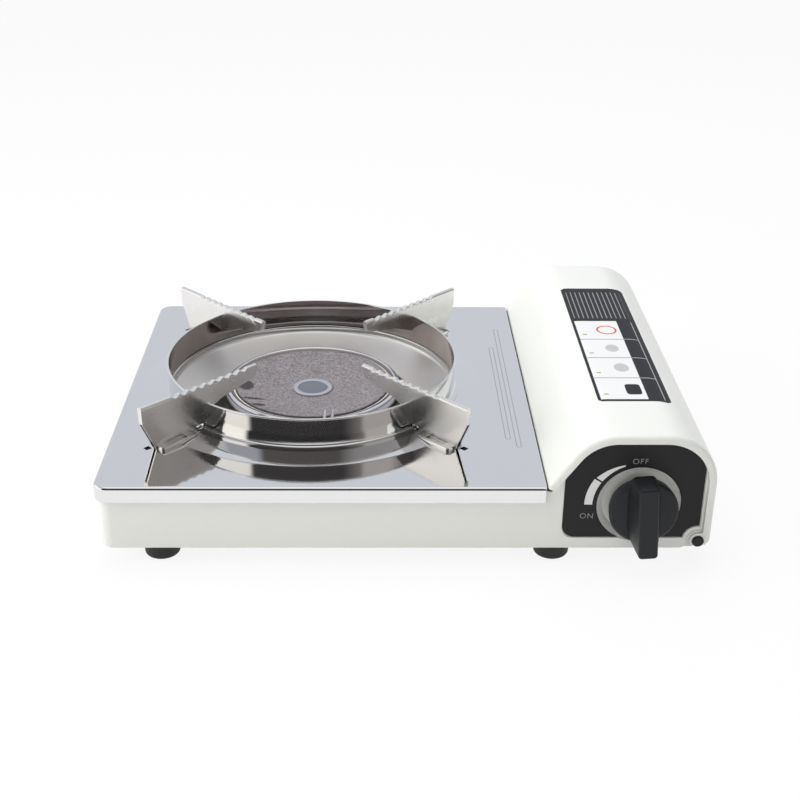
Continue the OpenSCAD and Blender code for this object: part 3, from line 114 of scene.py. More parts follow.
# %% Socket and material helpers
class Socket:
    def __init__(self, tree, link):
        self.tree = tree
        self.link = link

    def node(self, kind, settings=None, inputs=None, out=0):
        made = self.tree.nodes.new(kind)
        for key, value in (settings or {}).items():
            if key == "stops":
                ramp = made.color_ramp
                while len(ramp.elements) < len(value):
                    ramp.elements.new(0.5)
                for stop, (place, colour) in zip(ramp.elements, value):
                    stop.position = place
                    stop.color = colour
            else:
                setattr(made, key, value)
        for key, value in (inputs or {}).items():
            socket = made.inputs[key]
            if isinstance(value, Socket):
                self.tree.links.new(value.link, socket)
            else:
                socket.default_value = value
        return Socket(self.tree, made.outputs[out])

    def math(self, operation, *values):
        inputs = dict(enumerate(values))
        return self.node("ShaderNodeMath", {"operation": operation}, inputs)

    def __add__(self, other):
        return self.math("ADD", self, other)

    def __sub__(self, other):
        return self.math("SUBTRACT", self, other)

    def __mul__(self, other):
        return self.math("MULTIPLY", self, other)

    def __truediv__(self, other):
        return self.math("DIVIDE", self, other)

    def __rsub__(self, other):
        return self.math("SUBTRACT", other, self)

    __radd__ = __add__
    __rmul__ = __mul__

    def part(self, axis):
        return self.node("ShaderNodeSeparateXYZ", inputs={0: self}, out=axis)

    def band(self, low, high, soft):
        """1 where the value is between low and high, fading over soft at both ends."""
        rise = self.math("SUBTRACT", self, low - soft / 2) / soft
        fall = self.math("SUBTRACT", high + soft / 2, self) / soft
        both = self.math("MINIMUM", rise, fall)
        return self.math("MAXIMUM", self.math("MINIMUM", both, 1.0), 0.0)

    def noise(self, scale, detail=2.0, stretch=(1, 1, 1)):
        place = self.node("ShaderNodeMapping", inputs={"Vector": self, "Scale": stretch})
        return self.node("ShaderNodeTexNoise",
                         inputs={"Vector": place, "Scale": scale, "Detail": detail})

    def blend(self, a, b):
        """The colour a where this mask is 0, and b where it is 1."""
        return self.node("ShaderNodeMix", {"data_type": "RGBA"}, {0: self, 6: a, 7: b}, out=2)


class Finish:
    """A material, with its coordinates and the sockets of its Principled shader."""

    def __init__(self, name, colour, roughness, metallic=0.0, **fixed):
        self.material = bpy.data.materials.new(name)
        self.material.use_nodes = True
        self.tree = self.material.node_tree
        self.shader = self.tree.nodes["Principled BSDF"]
        self.set("Base Color", (*colour, 1.0))
        self.set("Roughness", roughness)
        self.set("Metallic", metallic)
        for key, value in fixed.items():
            self.set(key.replace("_", " "), value)
        coords = self.tree.nodes.new("ShaderNodeTexCoord")
        self.place = Socket(self.tree, coords.outputs["Object"])

    def set(self, name, value):
        socket = self.shader.inputs[name]
        if isinstance(value, Socket):
            self.tree.links.new(value.link, socket)
        else:
            socket.default_value = value

    def bump(self, height, strength, distance):
        node = self.place.node("ShaderNodeBump", inputs={"Strength": strength, "Distance": distance,
                                                         "Height": height})
        self.set("Normal", node)

    def from_burner(self):
        """The two distances of a place from the burner's axis, in mm, along x and y."""
        return [(self.place.part(axis) - burner_centre[axis]) / mm for axis in (0, 1)]


def length(x, y):
    """The length of the arrow (x, y), whose parts are sockets."""
    return x.math("SQRT", x * x + y * y)


print("helpers ready")

# %% [markdown]
# ## Finishes
# Cream paint is smooth enamel on sheet steel: nearly even in colour, with the faintest
# orange-peel in its gloss. Polished steel is a mirror whose brushed grain shows only as
# a slight softening. The burner's disc is a woven mesh, so its pattern is two crossed waves.

# %% Painted metal
cream = Finish("cream_enamel", (0.82, 0.835, 0.79), 0.34, Coat_Weight=0.2, Coat_Roughness=0.15)
peel = cream.place.noise(900, 1.0)
cream.bump(peel, 0.04, 0.0002)
cream.set("Roughness", cream.place.noise(40, 2.0) * 0.06 + 0.33)
print("made", cream.material.name)

# %% Polished and satin steel
polished = Finish("polished_steel", (0.80, 0.80, 0.80), 0.06, 1.0)
polished.set("Roughness", polished.place.noise(60, 3.0, (1, 40, 1)) * 0.05 + 0.035)

arm_steel = Finish("arm_steel", (0.84, 0.83, 0.82), 0.3, 1.0)
arm_steel.set("Roughness", arm_steel.place.noise(90, 3.0) * 0.14 + 0.22)

ring_steel = Finish("ring_steel", (0.80, 0.80, 0.80), 0.07, 1.0)
# Painted reflection: the ring's inner wall, 80 to 91.5 mm from the burner's axis, is painted a
# patchy dark brown. It stands in for the dark surroundings that the wall reflects.
reflection_patchiness = ring_steel.place.noise(35, 3.0) * 0.5 + 0.55
painted_inner_reflection = length(*ring_steel.from_burner()).band(80, 91.5, 0.2) * reflection_patchiness
ring_steel.set("Base Color", painted_inner_reflection.blend((0.80, 0.80, 0.80, 1), (0.33, 0.27, 0.25, 1)))
ring_steel.set("Roughness", ring_steel.place.noise(60, 3.0, (1, 1, 30)) * 0.06 + 0.04)

plate_steel = Finish("plate_steel", (0.80, 0.80, 0.80), 0.06, 1.0)
plate_steel.set("Roughness", plate_steel.place.noise(60, 3.0, (1, 40, 1)) * 0.05 + 0.035)
plate_x = (plate_steel.place.part(0) - left) / mm
plate_y = (plate_steel.place.part(1) - front) / mm


def plate_bead(x, y0, y1):
    """The height of a long pressed bead, from 0 beside it to 1 on its ridge."""
    along = plate_y.math("MAXIMUM", plate_y.math("SUBTRACT", y0, plate_y), plate_y - y1)
    along = along.math("MAXIMUM", along, 0.0)
    across = plate_x - x
    apart = (across * across + along * along) / 3.2
    return apart.math("MAXIMUM", 1 - apart, 0.0)


beads = plate_bead(238.8, 60, 192) + plate_bead(244.5, 50, 224)
plate_steel.bump(beads, 1.0, 0.00012)
# Painted reflection: a dark brown line along the foot of each bead darkens the plate's colour. It
# stands in for the bead's dark reflection.
painted_bead_reflection = beads.band(0.08, 0.62, 0.1) * 0.55
plate_steel.set("Base Color", painted_bead_reflection.blend((0.80, 0.80, 0.80, 1), (0.36, 0.31, 0.27, 1)))

satin = Finish("satin_steel", (0.66, 0.67, 0.68), 0.34, 1.0)
satin.set("Roughness", satin.place.noise(120, 3.0, (1, 1, 8)) * 0.16 + 0.26)

bowl_steel = Finish("bowl_steel", (0.96, 0.95, 0.93), 0.36, 1.0)
bowl_steel.set("Roughness", bowl_steel.place.noise(60, 3.0) * 0.10 + 0.34)

dull = Finish("dull_steel", (0.40, 0.39, 0.38), 0.5, 1.0)
dull.set("Roughness", dull.place.noise(200, 2.0) * 0.2 + 0.42)
print("made", polished.material.name, plate_steel.material.name, satin.material.name)

# %% Woven steel
# Two crossed waves are the wires of the burner's disc, and a fine noise makes them uneven.
wire_pitch = 0.00135
mesh_weave = Finish("mesh_weave", (0.30, 0.27, 0.27), 0.6, 0.5)
waves = [mesh_weave.place.part(axis) * (2 * pi / wire_pitch) for axis in (0, 1)]
wires = waves[0].math("SINE", waves[0]) * waves[1].math("SINE", waves[1])
soot = mesh_weave.place.noise(70, 3.0)
grain = (mesh_weave.place.noise(680, 1.0) - 0.5) * 2.2 + 0.5
tone = (wires * 0.25 + grain).band(0.5, 9, 1.0)
dark_wire = soot.blend((0.20, 0.18, 0.185, 1), (0.25, 0.225, 0.235, 1))
light_wire = soot.blend((0.43, 0.395, 0.415, 1), (0.54, 0.51, 0.53, 1))
weave_tone = tone.blend(dark_wire, light_wire)
print("made the weave of", mesh_weave.material.name)

# %% Painted shadow and shade on the weave
mesh_x, mesh_y = mesh_weave.from_burner()
ragged = mesh_weave.place.noise(420, 3.0) * 0.9


def painted_shadow_spot(x, y, reach_x, reach_y):
    """A soft dark spot on the disc: a painted shadow of the front-left pan arm's tip and teeth."""
    away_x, away_y = (mesh_x - x) / reach_x, (mesh_y - y) / reach_y
    apart = away_x * away_x + away_y * away_y + ragged
    return apart.band(-1.0, 1.15, 0.45)


# Painted shadow: three dark spots stand in for the shadow of the front-left arm's tip on the disc.
# Painted shade: the disc's edge beyond 49.6 mm is darkened where it meets the clamp rim.
painted_shade_marks = painted_shadow_spot(-42.9, -4, 6.0, 8.4) + painted_shadow_spot(-36.5, -23.3, 8.5, 2.0) + painted_shadow_spot(-32.5, -32.8, 5.0, 2.6)
edge = 1 - length(mesh_x, mesh_y).band(-1, 49.6, 0.9)
painted_shade_marks = painted_shade_marks.math("MINIMUM", painted_shade_marks + edge, 1.0) * 0.85
mesh_weave.set("Base Color", painted_shade_marks.blend(weave_tone, (0.05, 0.042, 0.04, 1)))
mesh_weave.bump(wires, 0.6, 0.0003)
print("made", mesh_weave.material.name)

# %% Rim and eyelet steel
# The rim's inner lip is painted dark brown as painted shade of the groove between the rim and the
# disc. The eyelet has a bright edge round a darker cap.
rim_steel = Finish("rim_steel", (0.80, 0.79, 0.82), 0.2, 1.0)
rim_steel.set("Roughness", rim_steel.place.noise(80, 2.0) * 0.1 + 0.16)
# Painted shade: the lip within 53.4 mm of the axis is darkened for the groove's shade.
painted_groove_shade = length(*rim_steel.from_burner()).band(0, 53.4, 0.5)
rim_steel.set("Base Color", painted_groove_shade.blend((0.80, 0.79, 0.82, 1), (0.30, 0.26, 0.24, 1)))

eyelet_steel = Finish("eyelet_steel", (0.72, 0.72, 0.76), 0.3, 1.0)
eye_cap = length(*eyelet_steel.from_burner()).band(-1, 9.38, 0.32)
eyelet_steel.set("Base Color", eye_cap.blend((0.66, 0.66, 0.70, 1), (0.30, 0.31, 0.35, 1)))
eyelet_steel.set("Roughness", eyelet_steel.place.noise(150, 2.0) * 0.1 + 0.26)
print("made", rim_steel.material.name, eyelet_steel.material.name)

# %% Plastics, rubber and the small metals
panel_black = Finish("panel_black", (0.013, 0.0125, 0.0135), 0.5, Specular_IOR_Level=0.28)
panel_black.bump(panel_black.place.noise(2500, 2.0), 0.08, 0.0002)

knob_black = Finish("knob_black", (0.010, 0.0112, 0.0135), 0.42, Specular_IOR_Level=0.32)
knob_black.bump(knob_black.place.noise(3000, 2.0), 0.1, 0.0002)

rubber_black = Finish("rubber_black", (0.014, 0.014, 0.014), 0.62)
rubber_black.set("Roughness", rubber_black.place.noise(300, 2.0) * 0.2 + 0.5)

brass = Finish("plain_brass", (0.66, 0.48, 0.21), 0.3, 1.0)
brass.set("Roughness", brass.place.noise(200, 2.0) * 0.2 + 0.22)

aluminium = Finish("cast_aluminium", (0.60, 0.61, 0.62), 0.45, 1.0)
aluminium.bump(aluminium.place.noise(1200, 3.0), 0.25, 0.0003)

ceramic = Finish("white_ceramic", (0.78, 0.75, 0.68), 0.7)
ceramic.bump(ceramic.place.noise(1500, 2.0), 0.15, 0.0002)

silicone = Finish("red_silicone", (0.42, 0.03, 0.02), 0.5)
silicone.set("Roughness", silicone.place.noise(300, 2.0) * 0.15 + 0.42)

natural = Finish("natural_plastic", (0.76, 0.75, 0.70), 0.45)
natural.set("Roughness", natural.place.noise(300, 2.0) * 0.15 + 0.38)
mark_white = Finish("mark_white", (0.80, 0.80, 0.78), 0.5)
mark_white.set("Roughness", mark_white.place.noise(600, 2.0) * 0.1 + 0.45)
mark_grey = Finish("mark_grey", (0.30, 0.30, 0.30), 0.5)
mark_grey.set("Roughness", mark_grey.place.noise(600, 2.0) * 0.1 + 0.45)
print("made the small finishes")

# %% [markdown]
# ## The label's print
# The label is only plain fields and shapes: a dark block at the rear with pale pinstripes, four
# white fields below it, and a dark strip along the right side. Each field is a mask on the
# place in millimetres, and each white field has one plain round or square spot in it.

# %% Label fields
label_x0, label_x1, label_y0, label_y1 = 288.6, 331.6, 44.4, 222.0
label_print = Finish("label_print", (0.80, 0.80, 0.78), 0.5, Specular_IOR_Level=0.3)
label_x = (label_print.place.part(0) - left) / mm
label_y = (label_print.place.part(1) - front) / mm
white_x, white_y = label_x0 + 29.6, 163.4
white_part = (label_x.band(label_x0 + 1.8, white_x, 0.25)
              * label_y.band(label_y0 + 2.4, white_y, 0.25))
cell_lines = (label_y.band(75.3, 76.1, 0.2) + label_y.band(104.5, 105.3, 0.2)
              + label_y.band(133.2, 134.0, 0.2))
cross = cell_lines * label_x.band(label_x0 + 1.8, 328.2, 0.2)
side_rule = label_x.band(327.7, 328.3, 0.2) * label_y.band(label_y0 + 2.4, white_y, 0.2)
stripe = label_x.math("PINGPONG", label_x, 1.55).band(-1, 0.28, 0.3)
stripes = stripe * label_x.band(label_x0 + 2.6, 328.4, 0.3) * label_y.band(168.4, 214.5, 0.3)
print("label fields ready")

# %% Label shapes
def spot(x, y, reach_x, reach_y, power=2):
    """A plain spot on the label: round for power 2, nearly square for a higher one."""
    away_x = label_x.math("ABSOLUTE", (label_x - x) / reach_x)
    away_y = label_x.math("ABSOLUTE", (label_y - y) / reach_y)
    apart = label_x.math("POWER", away_x, power) + label_x.math("POWER", away_y, power)
    return apart.band(-1.0, 1.0, 0.12)


ring_mark = spot(309.5, 148.5, 6.6, 7.0) * (1 - spot(309.5, 148.5, 5.4, 5.7))
grey_spots = spot(308.5, 119.5, 4.2, 5.5) + spot(309.5, 90.5, 4.6, 6.0)
dark_spot = spot(311.5, 60.0, 4.6, 7.0, 5)
dashes = sum(spot(294.5, y, 1.4, 0.9, 4) for y in (141.0, 112.0, 83.0, 53.5))
black_ink, pale_ink = (0.012, 0.0125, 0.016, 1), (0.80, 0.81, 0.81, 1)
ink = white_part.blend(black_ink, pale_ink)
ink = ring_mark.blend(ink, (0.62, 0.05, 0.05, 1))
ink = (grey_spots * 0.6).blend(ink, (0.32, 0.33, 0.36, 1))
ink = dark_spot.blend(ink, black_ink)
ink = dashes.blend(ink, (0.42, 0.42, 0.12, 1))
ink = (cross * white_part).blend(ink, (0.16, 0.16, 0.17, 1))
ink = (cross * (1 - white_part)).blend(ink, (0.42, 0.43, 0.44, 1))
ink = side_rule.blend(ink, (0.42, 0.43, 0.44, 1))
ink = (stripes * 0.55).blend(ink, (0.62, 0.62, 0.63, 1))
label_print.set("Base Color", ink)
label_print.set("Roughness", label_print.place.noise(300, 2.0) * 0.1 + 0.45)
print("made", label_print.material.name)

# %% [markdown]
# ## Give every CAD part its finish
# A CAD part keeps its shape. Only its material slot changes.

# %% Finishes for the CAD parts
dress = {
    cream: ["base_tray", "cover"],
    polished: ["top_plate", "pan_ring", "pan_arm_front_left", "pan_arm_front_right",
               "pan_arm_rear_left", "pan_arm_rear_right", "burner_rim", "burner_eyelet",
               "electrode_rod"],
    satin: ["burner_bowl", "burner_cup", "burner_stand", "mixing_tube", "can_partition",
            "regulator_bracket", "can_cradle_front", "can_cradle_rear", "electrode_bracket",
            "valve_spindle", "bracket_screws", "panel_screws", "heat_plate"],
    dull: ["burner_mesh", "magnet_ring"],
    panel_black: ["control_panel"],
    knob_black: ["knob", "igniter_body", "hinge_pin_front", "hinge_pin_rear"],
    rubber_black: ["foot_front_left", "foot_front_right", "foot_rear_left",
                   "foot_rear_right", "inlet_seal"],
    brass: ["gas_jet", "gas_pipe", "pipe_nut"],
    aluminium: ["regulator_body"],
    ceramic: ["burner_plate", "electrode_insulator"],
    silicone: ["ignition_wire"],
    natural: ["igniter_cam", "igniter_plunger"],
}
for finish, names in dress.items():
    for name in names:
        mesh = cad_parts[name].data
        mesh.materials.clear()
        mesh.materials.append(finish.material)
print("dressed", sum(len(names) for names in dress.values()), "of", len(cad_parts), "parts")

# %% [markdown]
# ## Drawing a section
# Sheet metal and turned parts both start as a section: a chain of straight runs with round
# bends. `section` draws one in the XZ plane, in millimetres, from corners that each give x, z
# and a bend radius. A bend is one vertex that is spun about its centre, so it is a true arc.
# Spinning the whole chain makes a turned part, and extruding it makes a pressed one.

# %% Section helper
def section(bm, corners, closed=True, fine=7.5):
    """Draws the corners (x, z, radius) as a chain of edges at y = 0."""
    spots = [Vector((x, 0, z)) for x, z, radius in corners]
    ends = []
    for i, (x, z, radius) in enumerate(corners):
        if not radius:
            vert = bm.verts.new(spots[i])
            ends.append((vert, vert))
            continue
        back = (spots[i - 1] - spots[i]).normalized()
        on = (spots[(i + 1) % len(spots)] - spots[i]).normalized()
        half = back.angle(on) / 2
        centre = spots[i] + (back + on).normalized() * (radius / sin(half))
        turn = (pi - 2 * half) * (-1 if back.cross(on).y > 0 else 1)
        first = bm.verts.new(spots[i] + back * (radius / tan(half)))
        made = bmesh.ops.spin(bm, geom=[first], cent=centre, axis=(0, 1, 0), angle=turn,
                              steps=max(2, round(abs(turn) / radians(fine))))
        ends.append((first, points(made["geom_last"])[0]))
    for i in range(len(ends) if closed else len(ends) - 1):
        bm.edges.new((ends[i][1], ends[(i + 1) % len(ends)][0]))


def points(geom):
    """Only the points of what an operator made."""
    return [g for g in geom if isinstance(g, bmesh.types.BMVert)]


def turned(corners, closed=True, steps=96, fine=15):
    """Spins a section about the Z axis."""
    bm = bmesh.new()
    section(bm, corners, closed, fine)
    bmesh.ops.spin(bm, geom=bm.verts[:] + bm.edges[:], cent=(0, 0, 0), axis=(0, 0, 1),
                   angle=2 * pi, steps=steps, use_merge=True)
    return bm


def join(bm, other):
    """Adds another bmesh's geometry to this one."""
    draft = bpy.data.meshes.new("draft")
    other.to_mesh(draft)
    other.free()
    bm.from_mesh(draft)
    bpy.data.meshes.remove(draft)


print("section helpers ready")

# %% Helpers for edges and planes
def soften(bm, edges, reach, steps, **more):
    """Rounds edges with a bevel of the given reach."""
    bmesh.ops.bevel(bm, geom=edges, offset=reach, offset_type="OFFSET", segments=steps,
                    profile=0.5, affect="EDGES", material=-1, **more)


def cut_through(bm, spot, normal, drop=False):
    """Cuts every face along a plane, and drops what lies on the normal's side if asked."""
    bmesh.ops.bisect_plane(bm, geom=bm.verts[:] + bm.edges[:] + bm.faces[:], dist=0.001,
                           plane_co=spot, plane_no=normal, clear_outer=drop)


def turn_by(bm, angle, axis):
    """Turns the whole bmesh about an axis through its origin."""
    bmesh.ops.rotate(bm, cent=(0, 0, 0), matrix=Matrix.Rotation(angle, 3, axis), verts=bm.verts[:])


print("edge and plane helpers ready")

# %% Piece helper
corner_place = Matrix.Translation(at(0, 0, 0)) @ Matrix.Scale(mm, 4)
burner_place = Matrix.Translation(burner_centre) @ Matrix.Scale(mm, 4)


def piece(name, bm, finish, body, nodes=(), place=corner_place, crease=35, wall=0):
    """Places a bmesh in millimetres on the stove as a finished object, riding on a body."""
    bmesh.ops.remove_doubles(bm, verts=bm.verts[:], dist=0.002)
    bmesh.ops.recalc_face_normals(bm, faces=bm.faces[:])
    if wall:
        bmesh.ops.solidify(bm, geom=bm.faces[:], thickness=wall)
    bmesh.ops.transform(bm, matrix=place, verts=bm.verts[:])
    for face in bm.faces:
        face.smooth = True
    for edge in bm.edges:
        edge.smooth = edge.calc_face_angle(0.0) < radians(crease)
    mesh = bpy.data.meshes.new(name)
    bm.to_mesh(mesh)
    bm.free()
    mesh.materials.append(finish.material)
    made = bpy.data.objects.new(name, mesh)
    bpy.context.scene.collection.objects.link(made)
    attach(made, body)
    if nodes:
        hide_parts(*nodes)
    print(f"{name}: {len(mesh.vertices)} points, {len(mesh.polygons)} faces")
    return made


lay = Matrix(((1, 0, 0, 0), (0, 0, 1, 0), (0, 1, 0, 0), (0, 0, 0, 1)))
print("piece helper ready; lay turns a section into a plan view")

# %% [markdown]
# ## The cartridge cover
# The cover is one steel pressing: a steep left side, a wide bend, a short flat top, a second
# bend and a straight right side. Its front edge is folded in as a narrow flange with a soft
# outer corner, its rear end is closed, and a round lug takes the hinge pin at each end. The
# outline is extruded to the rear, the two ends are filled, their outer edges bevelled, and
# the wall below the hem is cut away.

# %% Cover outline
def arch(i):
    """The cover's left foot, its slope's foot and its two bends, all set in by i."""
    reach = bend_left - i
    touch_x = arc_left[0] - reach * sin(slope)
    touch_z = arc_left[1] + reach * cos(slope)
    side, top = cover_x0 + i, crown_z - i
    return [(side, skirt_z, 0),
            (side, touch_z - (touch_x - side) * tan(slope), 4.0),
            (touch_x + (top - touch_z) / tan(slope), top, reach),
            (cover_x1 - i, top, bend_right - i)]


lug_foot = hinge_z - 3.4
lug_flat = hinge_x - sqrt(lug_r ** 2 - 3.4 ** 2)
outer = arch(0) + [(cover_x1, lug_foot, 4.0), (lug_flat, lug_foot, 0)]
lug = [(lug_flat, lug_foot, 0), (hinge_x - lug_r, lug_foot + 1.43, lug_r - 0.1),
       (hinge_x - lug_r, hinge_z + lug_r, lug_r - 0.1)]
front_side = lug + [(cover_x1 - flange_w, hinge_z + lug_r, 0.8)]
front_side += list(reversed(arch(flange_w))) + [(cover_x0, skirt_z, 0)]
rear_side = lug + [(hinge_x + 0.5, hinge_z + lug_r, 0), (hinge_x + 0.5, skirt_z, 0),
                   (cover_x0, skirt_z, 0)]
print("cover outline:", [(round(x, 1), round(z, 1), r) for x, z, r in outer])

# %% Cover pressing
bm = bmesh.new()
section(bm, outer, closed=False, fine=5)
drawn = bmesh.ops.extrude_edge_only(bm, edges=bm.edges[:])["geom"]
bmesh.ops.translate(bm, vec=(0, plate_d, 0),
                    verts=points(drawn))
for y, side in ((0, front_side), (plate_d, rear_side)):
    wall_verts = set(bm.verts)
    section(bm, side, closed=False, fine=5)
    bmesh.ops.translate(bm, vec=(0, y, 0), verts=[v for v in bm.verts if v not in wall_verts])
    bmesh.ops.remove_doubles(bm, verts=bm.verts[:], dist=0.01)
    rim = [e for e in bm.edges if all(abs(v.co.y - y) < 0.01 for v in e.verts)]
    bmesh.ops.contextual_create(bm, geom=rim)
    print("end at", y, "has", len(rim), "edges")
ends = [e for e in bm.edges if len(e.link_faces) == 2
        and len({round(v.co.y) for v in e.verts}) == 1 and round(e.verts[0].co.y) in (0, plate_d)]
soften(bm, ends, 2.6, 5)

# %% Cover hem
for spot, normal in (((0, 3.0, 0), (0, 1, 0)), ((0, plate_d - 3, 0), (0, 1, 0)),
                     ((0, 0, hem_z), (0, 0, 1)), ((0, 0, hinge_z), (0, 0, 1))):
    cut_through(bm, spot, normal)
cut = []
for face in bm.faces:
    spot = face.calc_center_median()
    side_wall = spot.x < hinge_x - 8 and spot.z < hem_z and spot.y < plate_d - 2.7
    lug_wall = spot.z < hinge_z and 3 < spot.y < plate_d - 3
    if side_wall or lug_wall:
        cut.append(face)
bmesh.ops.delete(bm, geom=cut, context="FACES")
piece("cover_pressing", bm, cream, "cover", ["cover"], wall=cover_t)

# %% [markdown]
# ## The label place
# A plain printed label lies on the cover's top and follows its bends. It takes the outline of
# the arch, a tenth of a millimetre out, and is cut to its width. The print is a pattern of
# plain fields, so the sheet stays one smooth piece.

# %% Label sheet
bm = bmesh.new()
section(bm, arch(-0.12) + [(cover_x1 + 0.12, 40, 0)], closed=False, fine=2)
drawn = bmesh.ops.extrude_edge_only(bm, edges=bm.edges[:])["geom"]
bmesh.ops.translate(bm, vec=(0, label_y1 - label_y0, 0),
                    verts=points(drawn))
bmesh.ops.translate(bm, vec=(0, label_y0, 0), verts=bm.verts[:])
label_corner = 2.2
for x, side in ((label_x0, -1), (label_x1, 1)):
    cut_through(bm, (x, 0, 0), (side, 0, 0), drop=True)
for x, side in ((label_x0, -1), (label_x1, 1)):
    for y, end in ((label_y0, -1), (label_y1, 1)):
        cut_through(bm, (x - side * label_corner, y, 0), (side, end, 0), drop=True)
piece("cover_label", bm, label_print, "cover", wall=0.1)

# %% [markdown]
# ## The dial marks
# Two printed arcs and the words for the knob's ends stand on the black panel. Each arc is a
# short edge spun about the dial's middle, and the second one narrows towards its tip.

# %% Dial arcs
def dial_arc(name, start, end, inner_r, outer_r, tip_r=None):
    """A band on the panel between two angles, counted in degrees up from the right."""
    bm = bmesh.new()
    verts = [bm.verts.new((r * cos(radians(start)), 0, r * sin(radians(start))))
             for r in (inner_r, outer_r)]
    edge = bm.edges.new(verts)
    bmesh.ops.spin(bm, geom=verts + [edge], cent=(0, 0, 0), axis=(0, 1, 0),
                   angle=radians(start - end), steps=24)
    if tip_r:
        for vert in bm.verts:
            share = (degrees(atan2(vert.co.z, vert.co.x)) - start) / (end - start)
            if vert.co.length > (inner_r + outer_r) / 2:
                vert.co *= 1 + (tip_r / outer_r - 1) * share
    bmesh.ops.translate(bm, vec=(dial_x, panel_y - 0.05, knob_z), verts=bm.verts[:])
    piece(name, bm, mark_white, "base", wall=0.06)


dial_arc("dial_arc_low", 180, 147.6, 26.5, 31.1)
dial_arc("dial_arc_high", 145.4, 111, 26.5, 30.6, 27.2)

# %% Dial words
def word(name, text, x, z, height, spread=1.0):
    """Text on the panel, made a mesh before it gets its place."""
    curve = bpy.data.curves.new(name, "FONT")
    curve.body = text
    curve.size = height / 0.72
    curve.offset = -0.016 * height
    curve.space_character = spread
    curve.extrude = 0.05
    draft = bpy.data.objects.new(name, curve)
    bm = bmesh.new()
    bm.from_mesh(draft.to_mesh())
    draft.to_mesh_clear()
    bpy.data.objects.remove(draft)
    low = [min(v.co[i] for v in bm.verts) for i in (0, 1)]
    high = [max(v.co[i] for v in bm.verts) for i in (0, 1)]
    middle = ((low[0] + high[0]) / 2, (low[1] + high[1]) / 2, 0)
    bmesh.ops.translate(bm, vec=-Vector(middle), verts=bm.verts[:])
    turn_by(bm, pi / 2, "X")
    bmesh.ops.translate(bm, vec=(x, panel_y - 0.05, z), verts=bm.verts[:])
    piece(name, bm, mark_grey, "base")


word("dial_word_off", "OFF", 307.0, plate_z + 16.1, 3.5, 1.12)
word("dial_word_on", "ON", 279.1, plate_z - 19.3, 3.5, 1.12)

# %% [markdown]
# ## The knob
# A moulded knob is a round skirt with a grip bar across it. The bar is a box whose front end is
# pulled in a little, as every moulding is, so that it leaves its mould, and whose edges are
# bevelled in two steps: first the four long corners, then the front edges. The skirt is a
# turned section. The knob is drawn facing -Z and then turned to face the front.

# %% Knob bar
# The bar points at -Z here, and its foot swells out sideways, more on the left.
bar_place, bar_size, bar_front = Vector((0.6, 1.2, -11.0)), (11.4, 46.0, 15.0), -18.5
bm = bmesh.new()
bar = bmesh.ops.create_cube(bm, size=1)["verts"]
bmesh.ops.scale(bm, vec=bar_size, verts=bar)
bmesh.ops.translate(bm, vec=bar_place, verts=bar)
tip = [v for v in bar if v.co.z < bar_place.z]
bmesh.ops.scale(bm, vec=(11.0 / bar_size[0], 44.8 / bar_size[1], 1), verts=tip,
                space=Matrix.Translation((-bar_place.x, -bar_place.y, 0)))
soften(bm, [e for e in bm.edges if abs(e.verts[0].co.z - e.verts[1].co.z) > 5], 2.2, 6)
soften(bm, [e for e in bm.edges if all(abs(v.co.z - bar_front) < 0.01 for v in e.verts)], 1.1, 4)
run = [e for e in bm.edges if abs(e.verts[0].co.y - e.verts[1].co.y) > 30]
bmesh.ops.subdivide_edges(bm, edges=run, cuts=11, use_grid_fill=True)
cut_through(bm, (0, 0, -9.5), (0, 0, 1))
for vert in bm.verts:
    depth = min(1, max(0, (vert.co.z + 17.0) / 9.5))
    middle = cos(pi / 2 * min(1, max(0, (abs(vert.co.y) - 8) / 14)))
    on_right = vert.co.x > bar_place.x
    vert.co.x += 3.0 * depth * middle if on_right else -depth * (0.7 + 4.5 * middle)
print("bar:", len(bm.verts), "points")

# %% Knob skirt
join(bm, turned([(0, 0.3, 0), (19.0, 0.3, 0.4), (19.8, -7.5, 1.8), (0, -7.5, 0)], closed=False))
turn_by(bm, radians(-90), "X")
turn_by(bm, radians(-4.2), "Y")
bmesh.ops.translate(bm, vec=(knob_x, 0, knob_z), verts=bm.verts[:])
piece("knob_moulding", bm, knob_black, "knob", ["knob"])

# %% [markdown]
# ## The top plate
# The plate is one pressing of polished sheet: a flat field with a rim bent down on its sides,
# a low collar that rises towards the burner, and a well. The outer outline is extruded up and
# its top edge bevelled, the collar is a turned section, and the flat field between the two is
# filled last, round the four square holes.

# %% Plate rim
rim_h, short_rim_h, rim_squeeze = 9.5, 3.2, 0.35
bm = bmesh.new()
section(bm, [(0, 0, 9.0), (plate_w, 0, 3.4), (plate_w, plate_d, 3.4), (0, plate_d, 9.0)])
bmesh.ops.transform(bm, matrix=lay, verts=bm.verts[:])
bmesh.ops.translate(bm, vec=(0, 0, plate_z - rim_h), verts=bm.verts[:])
drawn = bmesh.ops.extrude_edge_only(bm, edges=bm.edges[:])["geom"]
bmesh.ops.translate(bm, vec=(0, 0, rim_h), verts=points(drawn))
top_edges = [e for e in bm.edges if all(v.co.z > plate_z - 0.01 for v in e.verts)]
bmesh.ops.contextual_create(bm, geom=top_edges)
soften(bm, top_edges, 2.0, 6)
field = max(bm.faces, key=lambda f: f.calc_area())
bmesh.ops.inset_region(bm, faces=[field], thickness=0.5)
field = max(bm.faces, key=lambda f: f.calc_area())
bmesh.ops.delete(bm, geom=[field], context="FACES_ONLY")
print("plate rim:", len(bm.verts), "points")

